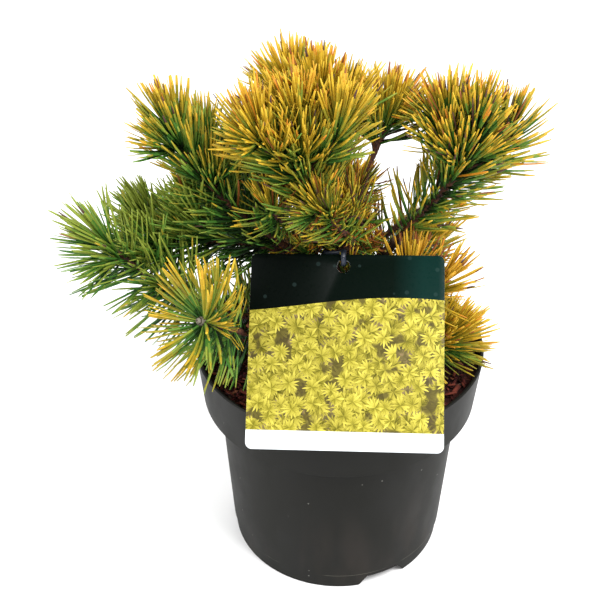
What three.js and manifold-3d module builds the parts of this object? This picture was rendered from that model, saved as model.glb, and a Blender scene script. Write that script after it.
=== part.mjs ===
// Mugo pine in a round nursery pot, with a card tied to its trunk.
// Millimetres, +Z up. The origin is the centre of the pot's underside.

import * as THREE from 'three';
import { mergeVertices } from 'three/addons/utils/BufferGeometryUtils.js';
import Module from 'manifold-3d';

const wasm = await Module();
wasm.setup();

// Driving dimensions.

const clearance = 0.3; // between two pieces that touch

const pot = {
  height: 158,
  rimRadius: 95,
  collarHeight: 38.5,
  collarFootRadius: 91.8,
  bodyTopRadius: 81.5,
  bodyFootRadius: 75.7,
  footHeight: 12.5,
  footTopRadius: 74.9,
  baseRadius: 74.2,
  footRingWidth: 5,
  footRingSlope: 1.5,
  hubRadius: 20,
  hubSlope: 2,
  floorLift: 2.5, // of the drained floor between the hub and the foot ring
  wall: 1.6,
  rimWidth: 2.2,
  rimDepth: 4,
  rimEdge: 0.8, // bevel round the outside of the rim
  collarEdge: 1.2, // bevel round the foot of the collar
  segments: 36,
};

// Half widths are in degrees of turn about the pot's axis.
const notch = { count: 3, firstTurn: -65.5, height: 8.5, halfTop: 9, halfBottom: 13.2, depth: 30, below: 1 };

const drain = { count: 6, radius: 6, ring: 46, sides: 8, depth: 20 };

const soil = {
  level: 150,
  edgeDrop: 3,
  wallGap: 0.6, // between the soil and the pot's wall
  outerRing: 70,
  ringStep: 18,
  flatRing: 16, // radius of flat soil round the trunk
  hollow: 1.6,
  hollowLength: 14,
  segments: 30,
};

const card = {
  width: 116.2,
  height: 117.2,
  thickness: 0.8,
  cornerRadius: 4,
  holeRadius: 4,
  holeDrop: 7.4, // below the card's top edge
  holeShift: -2.4,
  centre: { x: 1.4, z: 193.7 },
  leanBack: 43.06,
  turn: -4.39,
  roll: -1.53,
  margin: 1.5, // kept free of needles round the card
};

const tie = { radius: 1.2, sides: 6, steps: 40, height: 227, trunkGap: 1.3, bones: 24 };

// A place on the tree is a turn about the pot's axis in degrees from +X, a reach from the
// axis and a height above the pot's underside.
const trunk = {
  line: [
    [70, 6.6, soil.level - 12],
    [76, 6, 168],
    [99, 5, 190],
    [162, 6.3, 228],
    [140, 9.2, 262],
  ],
  girths: [8.4, 7.6, 6.8, 5.6, 4.2],
  flare: 4, // added to the radius at the soil
  flareHeight: 9,
  sides: 10,
  steps: 14,
  bones: 16,
};

// A bough bends at `swing` of the way out to its tip, where it has risen only `early` of
// the way up.
const bough = { sides: 6, steps: 5, swing: 0.55, early: 0.3, bones: 6 };

const twig = {
  rootRadius: 3.1,
  forkRadius: 2.7, // of a side twig at its root
  tipRadius: 2.3,
  sides: 3,
  stepLength: 16,
  lead: 0.35, // share of its reach that a shoot keeps the direction it starts in
  turn: 0.35, // share of it over which the shoot's end has turned to the light
  rise: 0.5, // how far that end turns, from straight on to straight up
  forkStep: 0.08,
  forkJitter: 0.04,
  bones: 6,
};

const bud = { radius: 2.6, length: 11, belly: 0.4, sunk: 2 };

const needle = {
  length: 39,
  radius: 1.9, // where it is widest
  belly: 0.35, // of its length from the root
  spacing: 2.6, // of needles along a twig
  bare: 6, // length of a twig at its foot that bears no needles
  mostBare: 0.6, // of a twig's length
  open: [56, 28], // degrees that they stand off a twig, at its foot and at its bud
  sideOpen: 0.72, // a side twig's foot opens less, next to the stem
  jitter: 8,
  swirl: 0.5,
  shortest: 0.86,
  lengthRange: 0.2,
  lengths: [1, 0.8, 0.6], // tried in turn where there is no room for a whole one
  samples: 12,
  firstSample: 2,
  wallInside: 5.2, // kept free inside the rim
  wallOutside: 1.5,
  overSoil: 1,
};

const seeds = { first: 101, step: 37 };

// Each branch is a bough that leaves the trunk at the height `from` and ends at `tip`, and
// one mass of needles that grows on from there. Its first bud ends the stem, and each
// further bud ends a twig that leaves the stem `fork` of the way along. Where a branch gives
// its own rise, open or bare, they stand for the twig's and the needles' own, and its scale
// is that of its needles' length.
const branches = [
  { name: 'left_low', from: 178, tip: [195, 46, 184], girth: 3.9, fork: 0.35, hue: 'green',
    rise: 0.3, open: [82, 44], scale: 1.08, buds: [[191, 142, 246], [181, 117, 235]] },
  { name: 'front_left', from: 168, tip: [208, 44, 177], girth: 3.6, fork: 0.4, hue: 'lime',
    rise: 0, open: [100, 70], bare: 12, scale: 1.12, buds: [[224, 111, 226]] },
  { name: 'left_mid', from: 206, tip: [176, 36, 222], girth: 3.4, fork: 0.4, hue: 'green',
    buds: [[176, 117, 242], [183, 89, 254]] },
  { name: 'left_top', from: 214, tip: [183, 34, 230], girth: 3.7, fork: 0.5, hue: 'green',
    open: [64, 28], buds: [[186, 97, 310], [171, 85, 291]] },
  { name: 'right_up', from: 198, tip: [0, 34, 234], girth: 3.9, fork: 0.5, hue: 'gold',
    rise: 0.8, open: [56, 22], buds: [[351, 75, 311], [0, 61, 311], [359, 93, 302]] },
  { name: 'right_low', from: 187, tip: [346, 28, 194], girth: 3.2, fork: 0.3, hue: 'gold',
    buds: [[343, 61, 211], [342, 44, 216]] },
  { name: 'right_rim', from: 164, tip: [343, 30, 164], girth: 3.2, fork: 0.4, hue: 'gold',
    buds: [[340, 70, 175]] },
  { name: 'centre', from: 238, tip: [222, 18, 254], girth: 3.6, fork: 0.4, hue: 'gold',
    rise: 0.85, open: [60, 28], buds: [[212, 30, 318], [209, 53, 315], [260, 24, 318]] },
  { name: 'inner_front', from: 226, tip: [290, 14, 238], girth: 2.9, fork: 0.4, hue: 'olive',
    open: [72, 44], scale: 0.78, buds: [[244, 29, 271]] },
  { name: 'inner_right', from: 240, tip: [330, 12, 247], girth: 2.9, fork: 0.4, hue: 'olive',
    open: [72, 44], scale: 0.78, buds: [[296, 13, 262]] },
  { name: 'inner_left', from: 234, tip: [196, 28, 246], girth: 2.9, fork: 0.4, hue: 'olive',
    open: [80, 56], scale: 0.78, buds: [[205, 47, 267]] },
  { name: 'back_right', from: 252, tip: [50, 14, 268], girth: 3.1, fork: 0.5, hue: 'gold',
    open: [70, 36], bare: 34, buds: [[45, 38, 303], [66, 38, 297]] },
  { name: 'top', from: 262, tip: null, fork: 0.45, hue: 'gold',
    rise: 0.6, buds: [[164, 15, 326], [150, 34, 324], [94, 14, 313]] },
  { name: 'back_high', from: 246, tip: [108, 26, 262], girth: 3.1, fork: 0.45, hue: 'gold',
    buds: [[107, 60, 298], [90, 62, 288]] },
  { name: 'back_left_high', from: 232, tip: [142, 34, 248], girth: 3.3, fork: 0.45, hue: 'gold',
    buds: [[137, 76, 278], [150, 83, 267]] },
  { name: 'back_left', from: 196, tip: [144, 40, 206], girth: 3.5, fork: 0.4, hue: 'green',
    buds: [[145, 107, 235], [130, 98, 230]] },
  { name: 'back', from: 212, tip: [96, 38, 223], girth: 3.5, fork: 0.4, hue: 'gold',
    buds: [[98, 101, 257], [112, 92, 253]] },
  { name: 'back_low_left', from: 172, tip: [122, 42, 181], girth: 3.4, fork: 0.4, hue: 'green',
    buds: [[122, 108, 210]] },
  { name: 'back_low', from: 184, tip: [86, 38, 192], girth: 3.4, fork: 0.4, hue: 'gold',
    buds: [[88, 99, 215]] },
  { name: 'back_low_right', from: 174, tip: [52, 34, 181], girth: 3.2, fork: 0.4, hue: 'gold',
    buds: [[45, 84, 195]] },
  { name: 'side_right', from: 214, tip: [34, 34, 226], girth: 3.2, fork: 0.4, hue: 'gold',
    bare: 48, buds: [[33, 104, 266]] },
];

// Materials.

function finish(color, roughness) {
  return new THREE.MeshStandardMaterial({ color, roughness, metalness: 0 });
}

const finishes = {
  plastic: finish(0x3b3b39, 0.5),
  soil: finish(0x4f3026, 0.95),
  bark: finish(0x5d4838, 0.9),
  card: finish(0x14261d, 0.25),
  tie: finish(0x20242c, 0.5),
  gold: finish(0xc08f1c, 0.55),
  lime: finish(0x8f9a26, 0.55),
  olive: finish(0x77702a, 0.6),
  green: finish(0x466f22, 0.55),
};

// Solids and helpers.

function solidOf(geometry) {
  const bare = geometry.clone();
  bare.deleteAttribute('normal');
  bare.deleteAttribute('uv');
  const merged = mergeVertices(bare, 1e-4);
  return new wasm.Manifold(new wasm.Mesh({
    numProp: 3,
    vertProperties: new Float32Array(merged.attributes.position.array),
    triVerts: new Uint32Array(merged.index.array),
  }));
}

// The outer shell of a fused mass: a hollow that the fusing sealed is filled, and a loose
// scrap is dropped.
function outerShell(solid) {
  const shells = solid.decompose();
  return shells.reduce((a, b) => (b.volume() > a.volume() ? b : a));
}

function geometryOf(solid) {
  const mesh = solid.getMesh();
  const geometry = new THREE.BufferGeometry();
  geometry.setAttribute('position', new THREE.BufferAttribute(new Float32Array(mesh.vertProperties), 3));
  geometry.setIndex(new THREE.BufferAttribute(new Uint32Array(mesh.triVerts), 1));
  geometry.computeVertexNormals();
  return geometry;
}

function namedMesh(name, geometry, material) {
  const mesh = new THREE.Mesh(geometry, material);
  mesh.name = name;
  return mesh;
}

function place(turn, reach, height) {
  const angle = THREE.MathUtils.degToRad(turn);
  return new THREE.Vector3(reach * Math.cos(angle), reach * Math.sin(angle), height);
}

function randomFrom(seed) {
  let state = seed;
  return () => {
    state = (state * 16807) % 2147483647;
    return state / 2147483647;
  };
}

// A tube along an open or closed curve, with flat ends where it is open.
function tubeGeometry(curve, radiusAt, sides, steps, closed = false) {
  const frames = curve.computeFrenetFrames(steps, closed);
  const rings = closed ? steps : steps + 1;
  const vertices = [];
  for (let i = 0; i < rings; i += 1) {
    const centre = curve.getPointAt(i / steps);
    for (let j = 0; j < sides; j += 1) {
      const angle = (2 * Math.PI * j) / sides;
      const point = centre.clone()
        .addScaledVector(frames.normals[i], radiusAt(i / steps) * Math.cos(angle))
        .addScaledVector(frames.binormals[i], radiusAt(i / steps) * Math.sin(angle));
      vertices.push(point);
    }
  }
  const faces = [];
  for (let i = 0; i < steps; i += 1) {
    const next = (i + 1) % rings;
    for (let j = 0; j < sides; j += 1) {
      const k = (j + 1) % sides;
      faces.push([i * sides + j, i * sides + k, next * sides + j]);
      faces.push([i * sides + k, next * sides + k, next * sides + j]);
    }
  }
  if (!closed) {
    for (let j = 1; j < sides - 1; j += 1) {
      faces.push([0, j + 1, j]);
      faces.push([steps * sides, steps * sides + j, steps * sides + j + 1]);
    }
  }
  const geometry = new THREE.BufferGeometry().setFromPoints(vertices);
  geometry.setIndex(faces.flat());
  geometry.computeVertexNormals();
  return geometry;
}

// A three-sided spike that grows from `root`, widest at the share `belly` of its length.
function spikeGeometry(root, direction, length, radius, belly) {
  const profile = [[0, 0], [radius, belly * length], [0, length]];
  const geometry = new THREE.LatheGeometry(profile.map(([x, y]) => new THREE.Vector2(x, y)), 3);
  const turn = new THREE.Quaternion().setFromUnitVectors(new THREE.Vector3(0, 1, 0), direction);
  geometry.applyQuaternion(turn);
  geometry.translate(root.x, root.y, root.z);
  return geometry;
}

// Pot.

function wallRadius(height) {
  const shoulder = pot.height - pot.collarHeight;
  if (height < shoulder) {
    const t = (height - pot.footHeight) / (shoulder - pot.footHeight);
    return THREE.MathUtils.lerp(pot.bodyFootRadius, pot.bodyTopRadius, t);
  }
  const t = (height - shoulder) / pot.collarHeight;
  return THREE.MathUtils.lerp(pot.collarFootRadius, pot.rimRadius, t);
}

function buildPot() {
  const shoulder = pot.height - pot.collarHeight;
  const floor = pot.floorLift + pot.wall;
  const profile = [
    [0, 0],
    [pot.hubRadius, 0],
    [pot.hubRadius + pot.hubSlope, pot.floorLift],
    [pot.baseRadius - pot.footRingWidth - pot.footRingSlope, pot.floorLift],
    [pot.baseRadius - pot.footRingWidth, 0],
    [pot.baseRadius, 0],
    [pot.footTopRadius, pot.footHeight - 0.5],
    [pot.bodyFootRadius, pot.footHeight],
    [pot.bodyTopRadius, shoulder - 1],
    [pot.collarFootRadius - pot.collarEdge, shoulder],
    [pot.collarFootRadius, shoulder + pot.collarEdge],
    [pot.rimRadius, pot.height - pot.rimEdge],
    [pot.rimRadius - pot.rimEdge, pot.height],
    [pot.rimRadius - pot.rimWidth, pot.height],
    [pot.rimRadius - pot.rimWidth, pot.height - pot.rimDepth],
    [pot.collarFootRadius - pot.wall, shoulder + pot.wall + 1],
    [pot.bodyTopRadius - pot.wall, shoulder + pot.wall],
    [pot.bodyFootRadius - pot.wall, pot.footHeight + 1],
    [pot.footTopRadius - pot.wall - 1, floor],
    [0, floor],
  ];
  const points = profile.map(([r, z]) => new THREE.Vector2(r, z));
  const shell = new THREE.LatheGeometry(points, pot.segments);
  shell.rotateX(Math.PI / 2);
  let body = solidOf(shell);

  // Sloping-sided notches through the foot, where water runs out.
  for (let i = 0; i < notch.count; i += 1) {
    const turn = notch.firstTurn + (360 * i) / notch.count;
    const halfTop = pot.baseRadius * Math.tan(THREE.MathUtils.degToRad(notch.halfTop));
    const halfBottom = pot.baseRadius * Math.tan(THREE.MathUtils.degToRad(notch.halfBottom));
    const outline = new THREE.Shape([
      new THREE.Vector2(-halfBottom - notch.below, -notch.below),
      new THREE.Vector2(halfBottom + notch.below, -notch.below),
      new THREE.Vector2(halfTop, notch.height),
      new THREE.Vector2(-halfTop, notch.height),
    ]);
    const cutter = new THREE.ExtrudeGeometry(outline, { depth: notch.depth, bevelEnabled: false });
    cutter.rotateX(Math.PI / 2);
    cutter.rotateZ(Math.PI / 2);
    cutter.translate(pot.baseRadius - pot.footRingWidth - pot.footRingSlope - 0.7, 0, 0);
    cutter.rotateZ(THREE.MathUtils.degToRad(turn));
    body = body.subtract(solidOf(cutter));
  }

  for (let i = 0; i < drain.count; i += 1) {
    const cutter = new THREE.CylinderGeometry(drain.radius, drain.radius, drain.depth, drain.sides);
    cutter.rotateX(Math.PI / 2);
    const at = place((360 * (i + 0.5)) / drain.count, drain.ring, 0);
    cutter.translate(at.x, at.y, 0);
    body = body.subtract(solidOf(cutter));
  }
  return namedMesh('pot', geometryOf(body), finishes.plastic);
}

// The soil lies flat round the trunk and dips in shallow rings further out.
function soilTop(reach) {
  const wave = Math.cos((reach - soil.flatRing) / soil.hollowLength);
  return soil.level - soil.hollow * (0.5 - 0.5 * wave);
}

function buildSoil() {
  const shoulder = pot.height - pot.collarHeight;
  const floor = pot.floorLift + pot.wall;
  const inset = pot.wall + soil.wallGap;
  const edge = wallRadius(soil.level - soil.edgeDrop) - inset - 0.9;
  const points = [
    new THREE.Vector2(0, floor + clearance),
    new THREE.Vector2(pot.footTopRadius - inset - 2, floor + clearance),
    new THREE.Vector2(wallRadius(pot.footHeight + 2) - inset, pot.footHeight + 2),
    new THREE.Vector2(pot.bodyTopRadius - inset, shoulder + pot.wall + clearance),
    new THREE.Vector2(pot.collarFootRadius - inset - 0.4, shoulder + pot.wall + 1.6),
    new THREE.Vector2(edge, soil.level - soil.edgeDrop),
  ];
  for (let reach = soil.outerRing; reach >= soil.flatRing; reach -= soil.ringStep) {
    points.push(new THREE.Vector2(reach, soilTop(reach)));
  }
  points.push(new THREE.Vector2(0, soil.level));
  const geometry = new THREE.LatheGeometry(points, soil.segments);
  geometry.rotateX(Math.PI / 2);
  return namedMesh('soil', geometryOf(solidOf(geometry)), finishes.soil);
}

// Card and its tie.

const cardTurn = new THREE.Matrix4()
  .makeRotationZ(THREE.MathUtils.degToRad(card.turn))
  .multiply(new THREE.Matrix4().makeRotationX(THREE.MathUtils.degToRad(-card.leanBack)))
  .multiply(new THREE.Matrix4().makeRotationY(THREE.MathUtils.degToRad(card.roll)));

// The card lies on the front of the rim: its back face is a clearance away from whichever
// edge of the rim's bevel stands out furthest towards it.
function cardCentre() {
  const normal = new THREE.Vector3(0, -1, 0).transformDirection(cardTurn);
  const flat = Math.hypot(normal.x, normal.y) * Math.cos(Math.PI / pot.segments);
  const contact = Math.max(
    pot.rimRadius * flat + (pot.height - pot.rimEdge) * normal.z,
    (pot.rimRadius - pot.rimEdge) * flat + pot.height * normal.z,
  );
  const middle = contact + clearance + card.thickness / 2;
  const y = (middle - normal.x * card.centre.x - normal.z * card.centre.z) / normal.y;
  return new THREE.Vector3(card.centre.x, y, card.centre.z);
}

const cardPlace = new THREE.Matrix4().setPosition(cardCentre()).multiply(cardTurn);
const cardInverse = cardPlace.clone().invert();

function onCard(x, y, z) {
  return new THREE.Vector3(x, y, z).applyMatrix4(cardPlace);
}

function buildCard() {
  const w = card.width / 2;
  const h = card.height / 2;
  const r = card.cornerRadius;
  const outline = new THREE.Shape();
  outline.absarc(w - r, h - r, r, 0, Math.PI / 2);
  outline.absarc(-w + r, h - r, r, Math.PI / 2, Math.PI);
  outline.absarc(-w + r, -h + r, r, Math.PI, 1.5 * Math.PI);
  outline.absarc(w - r, -h + r, r, 1.5 * Math.PI, 2 * Math.PI);
  const hole = new THREE.Path();
  hole.absarc(card.holeShift, h - card.holeDrop, card.holeRadius, 0, 2 * Math.PI, true);
  outline.holes.push(hole);
  const options = { depth: card.thickness, bevelEnabled: false, curveSegments: 5 };
  const geometry = new THREE.ExtrudeGeometry(outline, options);
  geometry.translate(0, 0, -card.thickness / 2);
  geometry.rotateX(Math.PI / 2);
  const mesh = namedMesh('card', geometry, finishes.card);
  mesh.applyMatrix4(cardPlace);
  return mesh;
}

const trunkCurve = new THREE.CatmullRomCurve3(trunk.line.map((p) => place(...p)));

function trunkRadius(t) {
  const scaled = t * (trunk.girths.length - 1);
  const k = Math.min(Math.floor(scaled), trunk.girths.length - 2);
  const girth = THREE.MathUtils.lerp(trunk.girths[k], trunk.girths[k + 1], scaled - k);
  const above = trunkCurve.getPointAt(t).z - soil.level;
  return girth + trunk.flare * Math.exp(-above / trunk.flareHeight);
}

// The share of the trunk's length at which it passes a height.
function trunkShare(height) {
  let low = 0;
  let high = 1;
  while (high - low > 1e-7) {
    const middle = (low + high) / 2;
    if (trunkCurve.getPointAt(middle).z < height) {
      low = middle;
    } else {
      high = middle;
    }
  }
  return low;
}

const tieCurve = (() => {
  const x = card.holeShift;
  const top = card.height / 2;
  const hole = top - card.holeDrop;
  const share = trunkShare(tie.height);
  const core = trunkCurve.getPointAt(share);
  const around = trunkRadius(share) + tie.radius + tie.trunkGap;
  return new THREE.CatmullRomCurve3([
    onCard(x, -2.1, hole + 4.8),
    onCard(x, -1.2, hole + 2.5),
    onCard(x, 1.6, hole + 1.8),
    core.clone().add(new THREE.Vector3(around, -14, 0)),
    core.clone().add(new THREE.Vector3(around, 0, 0)),
    core.clone().add(new THREE.Vector3(0, around, 0.5)),
    core.clone().add(new THREE.Vector3(-around, 0, 1)),
    core.clone().add(new THREE.Vector3(-0.6 * around, -14, 5)),
    onCard(x, 2.6, top + 2.1),
    onCard(x, -0.8, top + 2.1),
  ], true);
})();

function buildTie() {
  const geometry = tubeGeometry(tieCurve, () => tie.radius, tie.sides, tie.steps, true);
  return namedMesh('tie', geometry, finishes.tie);
}

// Trunk and boughs.

function sheathOf(curve, radiusAt, sides, steps) {
  const wide = 1 / Math.cos(Math.PI / sides);
  const outer = (t) => (radiusAt(t) + clearance) * wide;
  return solidOf(tubeGeometry(curve, outer, sides, steps));
}

// The trunk is cut off flat where it meets the soil.
function buildTrunk() {
  const whole = solidOf(tubeGeometry(trunkCurve, trunkRadius, trunk.sides, trunk.steps));
  const block = 80;
  const ground = new THREE.BoxGeometry(block, block, block);
  ground.translate(0, 0, soil.level + clearance - block / 2);
  return namedMesh('trunk', geometryOf(whole.subtract(solidOf(ground))), finishes.bark);
}

function boughCurve(branch) {
  const root = trunkCurve.getPointAt(trunkShare(branch.from));
  const tip = place(...branch.tip);
  const bend = new THREE.Vector3(
    THREE.MathUtils.lerp(root.x, tip.x, bough.swing),
    THREE.MathUtils.lerp(root.y, tip.y, bough.swing),
    THREE.MathUtils.lerp(root.z, tip.z, bough.early),
  );
  return new THREE.QuadraticBezierCurve3(root, bend, tip);
}

function boughRadius(branch) {
  return (t) => THREE.MathUtils.lerp(branch.girth, twig.rootRadius, t);
}

// Skeleton of the crown.

// A shoot starts along its heading and ends turned up towards the light.
function shootCurve(foot, heading, head, rise) {
  const reach = foot.distanceTo(head);
  const last = head.clone().sub(foot).multiplyScalar((1 - rise) / reach);
  last.z += rise;
  last.normalize();
  const near = foot.clone().addScaledVector(heading, twig.lead * reach);
  const far = head.clone().addScaledVector(last, -twig.turn * reach);
  return new THREE.CubicBezierCurve3(foot, near, far, head);
}

// Every branch gets its bough's curve, where it has one, and the curves of its twigs. The
// stem starts in the bough's own direction, and each side twig halfway between the stem's
// direction and its own bud.
function growBranch(branch, index) {
  const random = randomFrom(seeds.first + seeds.step * index);
  const rise = branch.rise ?? twig.rise;
  const limb = branch.tip ? boughCurve(branch) : null;
  const parent = limb ?? trunkCurve;
  const heading = parent.getTangentAt(1);
  const foot = parent.getPointAt(1).addScaledVector(heading, clearance);
  const stem = shootCurve(foot, heading, place(...branch.buds[0]), rise);
  const twigs = [stem];
  branch.buds.slice(1).forEach((bud, k) => {
    const share = branch.fork + twig.forkStep * k + twig.forkJitter * random();
    const root = stem.getPointAt(share);
    const head = place(...bud);
    const away = head.clone().sub(root).normalize().add(stem.getTangentAt(share)).normalize();
    twigs.push(shootCurve(root, away, head, rise));
  });
  return { branch, limb, twigs, random };
}

const crown = branches.map(growBranch);

// Straight pieces of a curve, each with the radius at its middle.
function bonesOf(curve, radiusAt, count) {
  const bones = [];
  for (let i = 0; i < count; i += 1) {
    const line = new THREE.Line3(curve.getPointAt(i / count), curve.getPointAt((i + 1) / count));
    bones.push({ line, radius: radiusAt((i + 0.5) / count) });
  }
  return bones;
}

const limbBones = [
  ...bonesOf(trunkCurve, trunkRadius, trunk.bones),
  ...bonesOf(tieCurve, () => tie.radius, tie.bones),
  ...crown.filter(({ limb }) => limb)
    .flatMap(({ limb, branch }) => bonesOf(limb, boughRadius(branch), bough.bones)),
];
const massBones = crown.map(({ twigs }) => (
  twigs.flatMap((curve) => bonesOf(curve, () => 0, twig.bones))
));

const nearest = new THREE.Vector3();

function gapTo(point, bones) {
  let gap = Infinity;
  for (const { line, radius } of bones) {
    line.closestPointToPoint(point, true, nearest);
    gap = Math.min(gap, nearest.distanceTo(point) - radius);
  }
  return gap;
}

// Whether a point with some thickness round it is free of the pot, the soil and the card.
function isOpen(point, thickness) {
  const reach = Math.hypot(point.x, point.y);
  const nearWall = reach > pot.rimRadius - needle.wallInside
    && reach < pot.rimRadius + needle.wallOutside + thickness;
  if (nearWall && point.z < pot.height + needle.overSoil + thickness) {
    return false;
  }
  if (reach < pot.rimRadius && point.z < soil.level + needle.overSoil + thickness) {
    return false;
  }
  const local = point.clone().applyMatrix4(cardInverse);
  const overCard = Math.abs(local.x) < card.width / 2 + card.margin
    && Math.abs(local.z) < card.height / 2 + card.margin;
  return !(overCard && local.y < card.margin + thickness);
}

function needleRadius(share) {
  return needle.radius * Math.min(share / needle.belly, (1 - share) / (1 - needle.belly));
}

// A needle stays nearer to its own mass than to any other, and off every limb.
function isClear(root, direction, length, index) {
  for (let k = needle.firstSample; k <= needle.samples; k += 1) {
    const share = k / needle.samples;
    const point = root.clone().addScaledVector(direction, length * share);
    const thickness = needleRadius(share);
    if (!isOpen(point, thickness) || gapTo(point, limbBones) < thickness + clearance) {
      return false;
    }
    const own = gapTo(point, massBones[index]);
    const crowded = massBones.some((bones, other) => (
      other !== index && gapTo(point, bones) < own + 2 * thickness + clearance
    ));
    if (crowded) {
      return false;
    }
  }
  return true;
}

// Masses of needles.

const goldenAngle = Math.PI * (3 - Math.sqrt(5));

function needlesOn(curve, [wide, narrow], branch, index, random) {
  const length = curve.getLength();
  const low = Math.min((branch.bare ?? needle.bare) / length, needle.mostBare);
  const count = Math.round(((1 - low) * length) / needle.spacing);
  const spikes = [];
  const side = new THREE.Vector3();
  const across = new THREE.Vector3();
  for (let i = 0; i < count; i += 1) {
    const share = (i + 0.5) / count;
    const root = curve.getPointAt(low + (1 - low) * share);
    const axis = curve.getTangentAt(low + (1 - low) * share);
    side.set(0, 0, 1).cross(axis).normalize();
    across.crossVectors(axis, side);
    const around = i * goldenAngle + needle.swirl * random();
    const spread = wide + (narrow - wide) * share * share;
    const open = THREE.MathUtils.degToRad(spread + needle.jitter * (2 * random() - 1));
    const direction = axis.clone().multiplyScalar(Math.cos(open))
      .addScaledVector(side, Math.sin(open) * Math.cos(around))
      .addScaledVector(across, Math.sin(open) * Math.sin(around));
    const size = needle.length * (branch.scale ?? 1);
    const whole = size * (needle.shortest + needle.lengthRange * random());
    const reach = needle.lengths.map((part) => part * whole)
      .find((length) => isClear(root, direction, length, index));
    if (reach) {
      spikes.push(spikeGeometry(root, direction, reach, needle.radius, needle.belly));
    }
  }
  return spikes;
}

function buildMass({ branch, twigs, random }, index) {
  const [wide, narrow] = branch.open ?? needle.open;
  const pieces = [];
  twigs.forEach((curve, k) => {
    const foot = k === 0 ? wide : Math.max(narrow, wide * needle.sideOpen);
    const thick = k === 0 ? twig.rootRadius : twig.forkRadius;
    const radiusAt = (t) => THREE.MathUtils.lerp(thick, twig.tipRadius, t);
    const steps = Math.max(2, Math.round(curve.getLength() / twig.stepLength));
    pieces.push(tubeGeometry(curve, radiusAt, twig.sides, steps));
    const axis = curve.getTangentAt(1);
    const budRoot = curve.getPointAt(1).addScaledVector(axis, -bud.sunk);
    pieces.push(spikeGeometry(budRoot, axis, bud.length, bud.radius, bud.belly));
    pieces.push(...needlesOn(curve, [foot, narrow], branch, index, random));
  });
  const solid = pieces.map(solidOf).reduce((whole, piece) => whole.add(piece));
  return namedMesh(`needles_${branch.name}`, geometryOf(outerShell(solid)), finishes[branch.hue]);
}

function buildBough({ branch, limb }) {
  const sheath = sheathOf(trunkCurve, trunkRadius, trunk.sides, trunk.steps);
  const solid = solidOf(tubeGeometry(limb, boughRadius(branch), bough.sides, bough.steps));
  return namedMesh(`bough_${branch.name}`, geometryOf(solid.subtract(sheath)), finishes.bark);
}

// The whole plant.

const plant = new THREE.Group();
plant.add(buildPot(), buildSoil(), buildCard(), buildTie(), buildTrunk());
plant.add(...crown.filter((item) => item.limb).map(buildBough));
plant.add(...crown.map(buildMass));

export default plant;
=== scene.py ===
import math

import bpy
import bmesh
import numpy as np
from mathutils import Matrix, Vector


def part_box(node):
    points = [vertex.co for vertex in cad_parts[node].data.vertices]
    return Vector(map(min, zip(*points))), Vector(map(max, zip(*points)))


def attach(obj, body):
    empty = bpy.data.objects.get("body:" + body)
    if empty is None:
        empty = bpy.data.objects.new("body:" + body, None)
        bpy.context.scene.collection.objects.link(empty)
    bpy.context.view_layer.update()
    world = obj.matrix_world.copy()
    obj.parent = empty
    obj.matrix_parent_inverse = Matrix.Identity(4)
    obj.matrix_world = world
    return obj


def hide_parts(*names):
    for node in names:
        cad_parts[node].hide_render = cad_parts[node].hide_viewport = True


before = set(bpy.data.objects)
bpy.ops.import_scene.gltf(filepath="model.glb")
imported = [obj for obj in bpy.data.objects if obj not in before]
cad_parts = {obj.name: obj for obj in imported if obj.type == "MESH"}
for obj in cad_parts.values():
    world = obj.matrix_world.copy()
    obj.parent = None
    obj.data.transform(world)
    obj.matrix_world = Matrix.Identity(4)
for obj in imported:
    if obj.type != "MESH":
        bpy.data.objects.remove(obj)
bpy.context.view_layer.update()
mm = 0.001

print("frame loaded:", len(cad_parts), "nodes")


# camera, lights and stage

camera = {
    "place": (-0.0213, -0.5378, 0.5487), "lookDown": 34.2,
    "lens": 58.54, "sensor": 36, "nearest": 0.02,
}

bpy.ops.object.camera_add(
    location=camera["place"], rotation=(math.radians(90 - camera["lookDown"]), 0, 0)
)
eye = bpy.context.object
eye.name = "camera"
eye.data.lens = camera["lens"]
eye.data.sensor_width = camera["sensor"]
eye.data.clip_start = camera["nearest"]
bpy.context.scene.camera = eye

# softboxes: where each stands, what it points at, its side and its power in watts
softboxes = {
    "keyLight": {"place": (0.6, -0.55, 1.25), "aim": (0, 0, 0.25), "side": 0.6, "watts": 22},
    "fillLight": {"place": (-0.95, -0.4, 0.8), "aim": (0, 0, 0.2), "side": 0.7, "watts": 9},
    "backLight": {"place": (0.1, 0.9, 1.1), "aim": (0, 0, 0.25), "side": 0.8, "watts": 5},
}


def addSoftbox(name, place, aim, side, watts):
    turn = (Vector(aim) - Vector(place)).to_track_quat("-Z", "Y").to_euler()
    bpy.ops.object.light_add(type="AREA", location=place, rotation=turn)
    lamp = bpy.context.object
    lamp.name = name
    lamp.data.shape = "SQUARE"
    lamp.data.size = side
    lamp.data.energy = watts


for name, box in softboxes.items():
    addSoftbox(name, **box)

sky = {"Color": (1, 1, 1, 1), "Strength": 0.95}
world = bpy.data.worlds.new("studio")
world.use_nodes = True
for socket, value in sky.items():
    world.node_tree.nodes["Background"].inputs[socket].default_value = value
bpy.context.scene.world = world
bpy.context.scene.view_settings.view_transform = "Standard"


# finishes

def tint(red, green, blue):
    # screen values of 0 to 255 as the linear colour that a shader takes
    return tuple(((c / 255 + 0.055) / 1.055) ** 2.4 for c in (red, green, blue)) + (1.0,)


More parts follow.
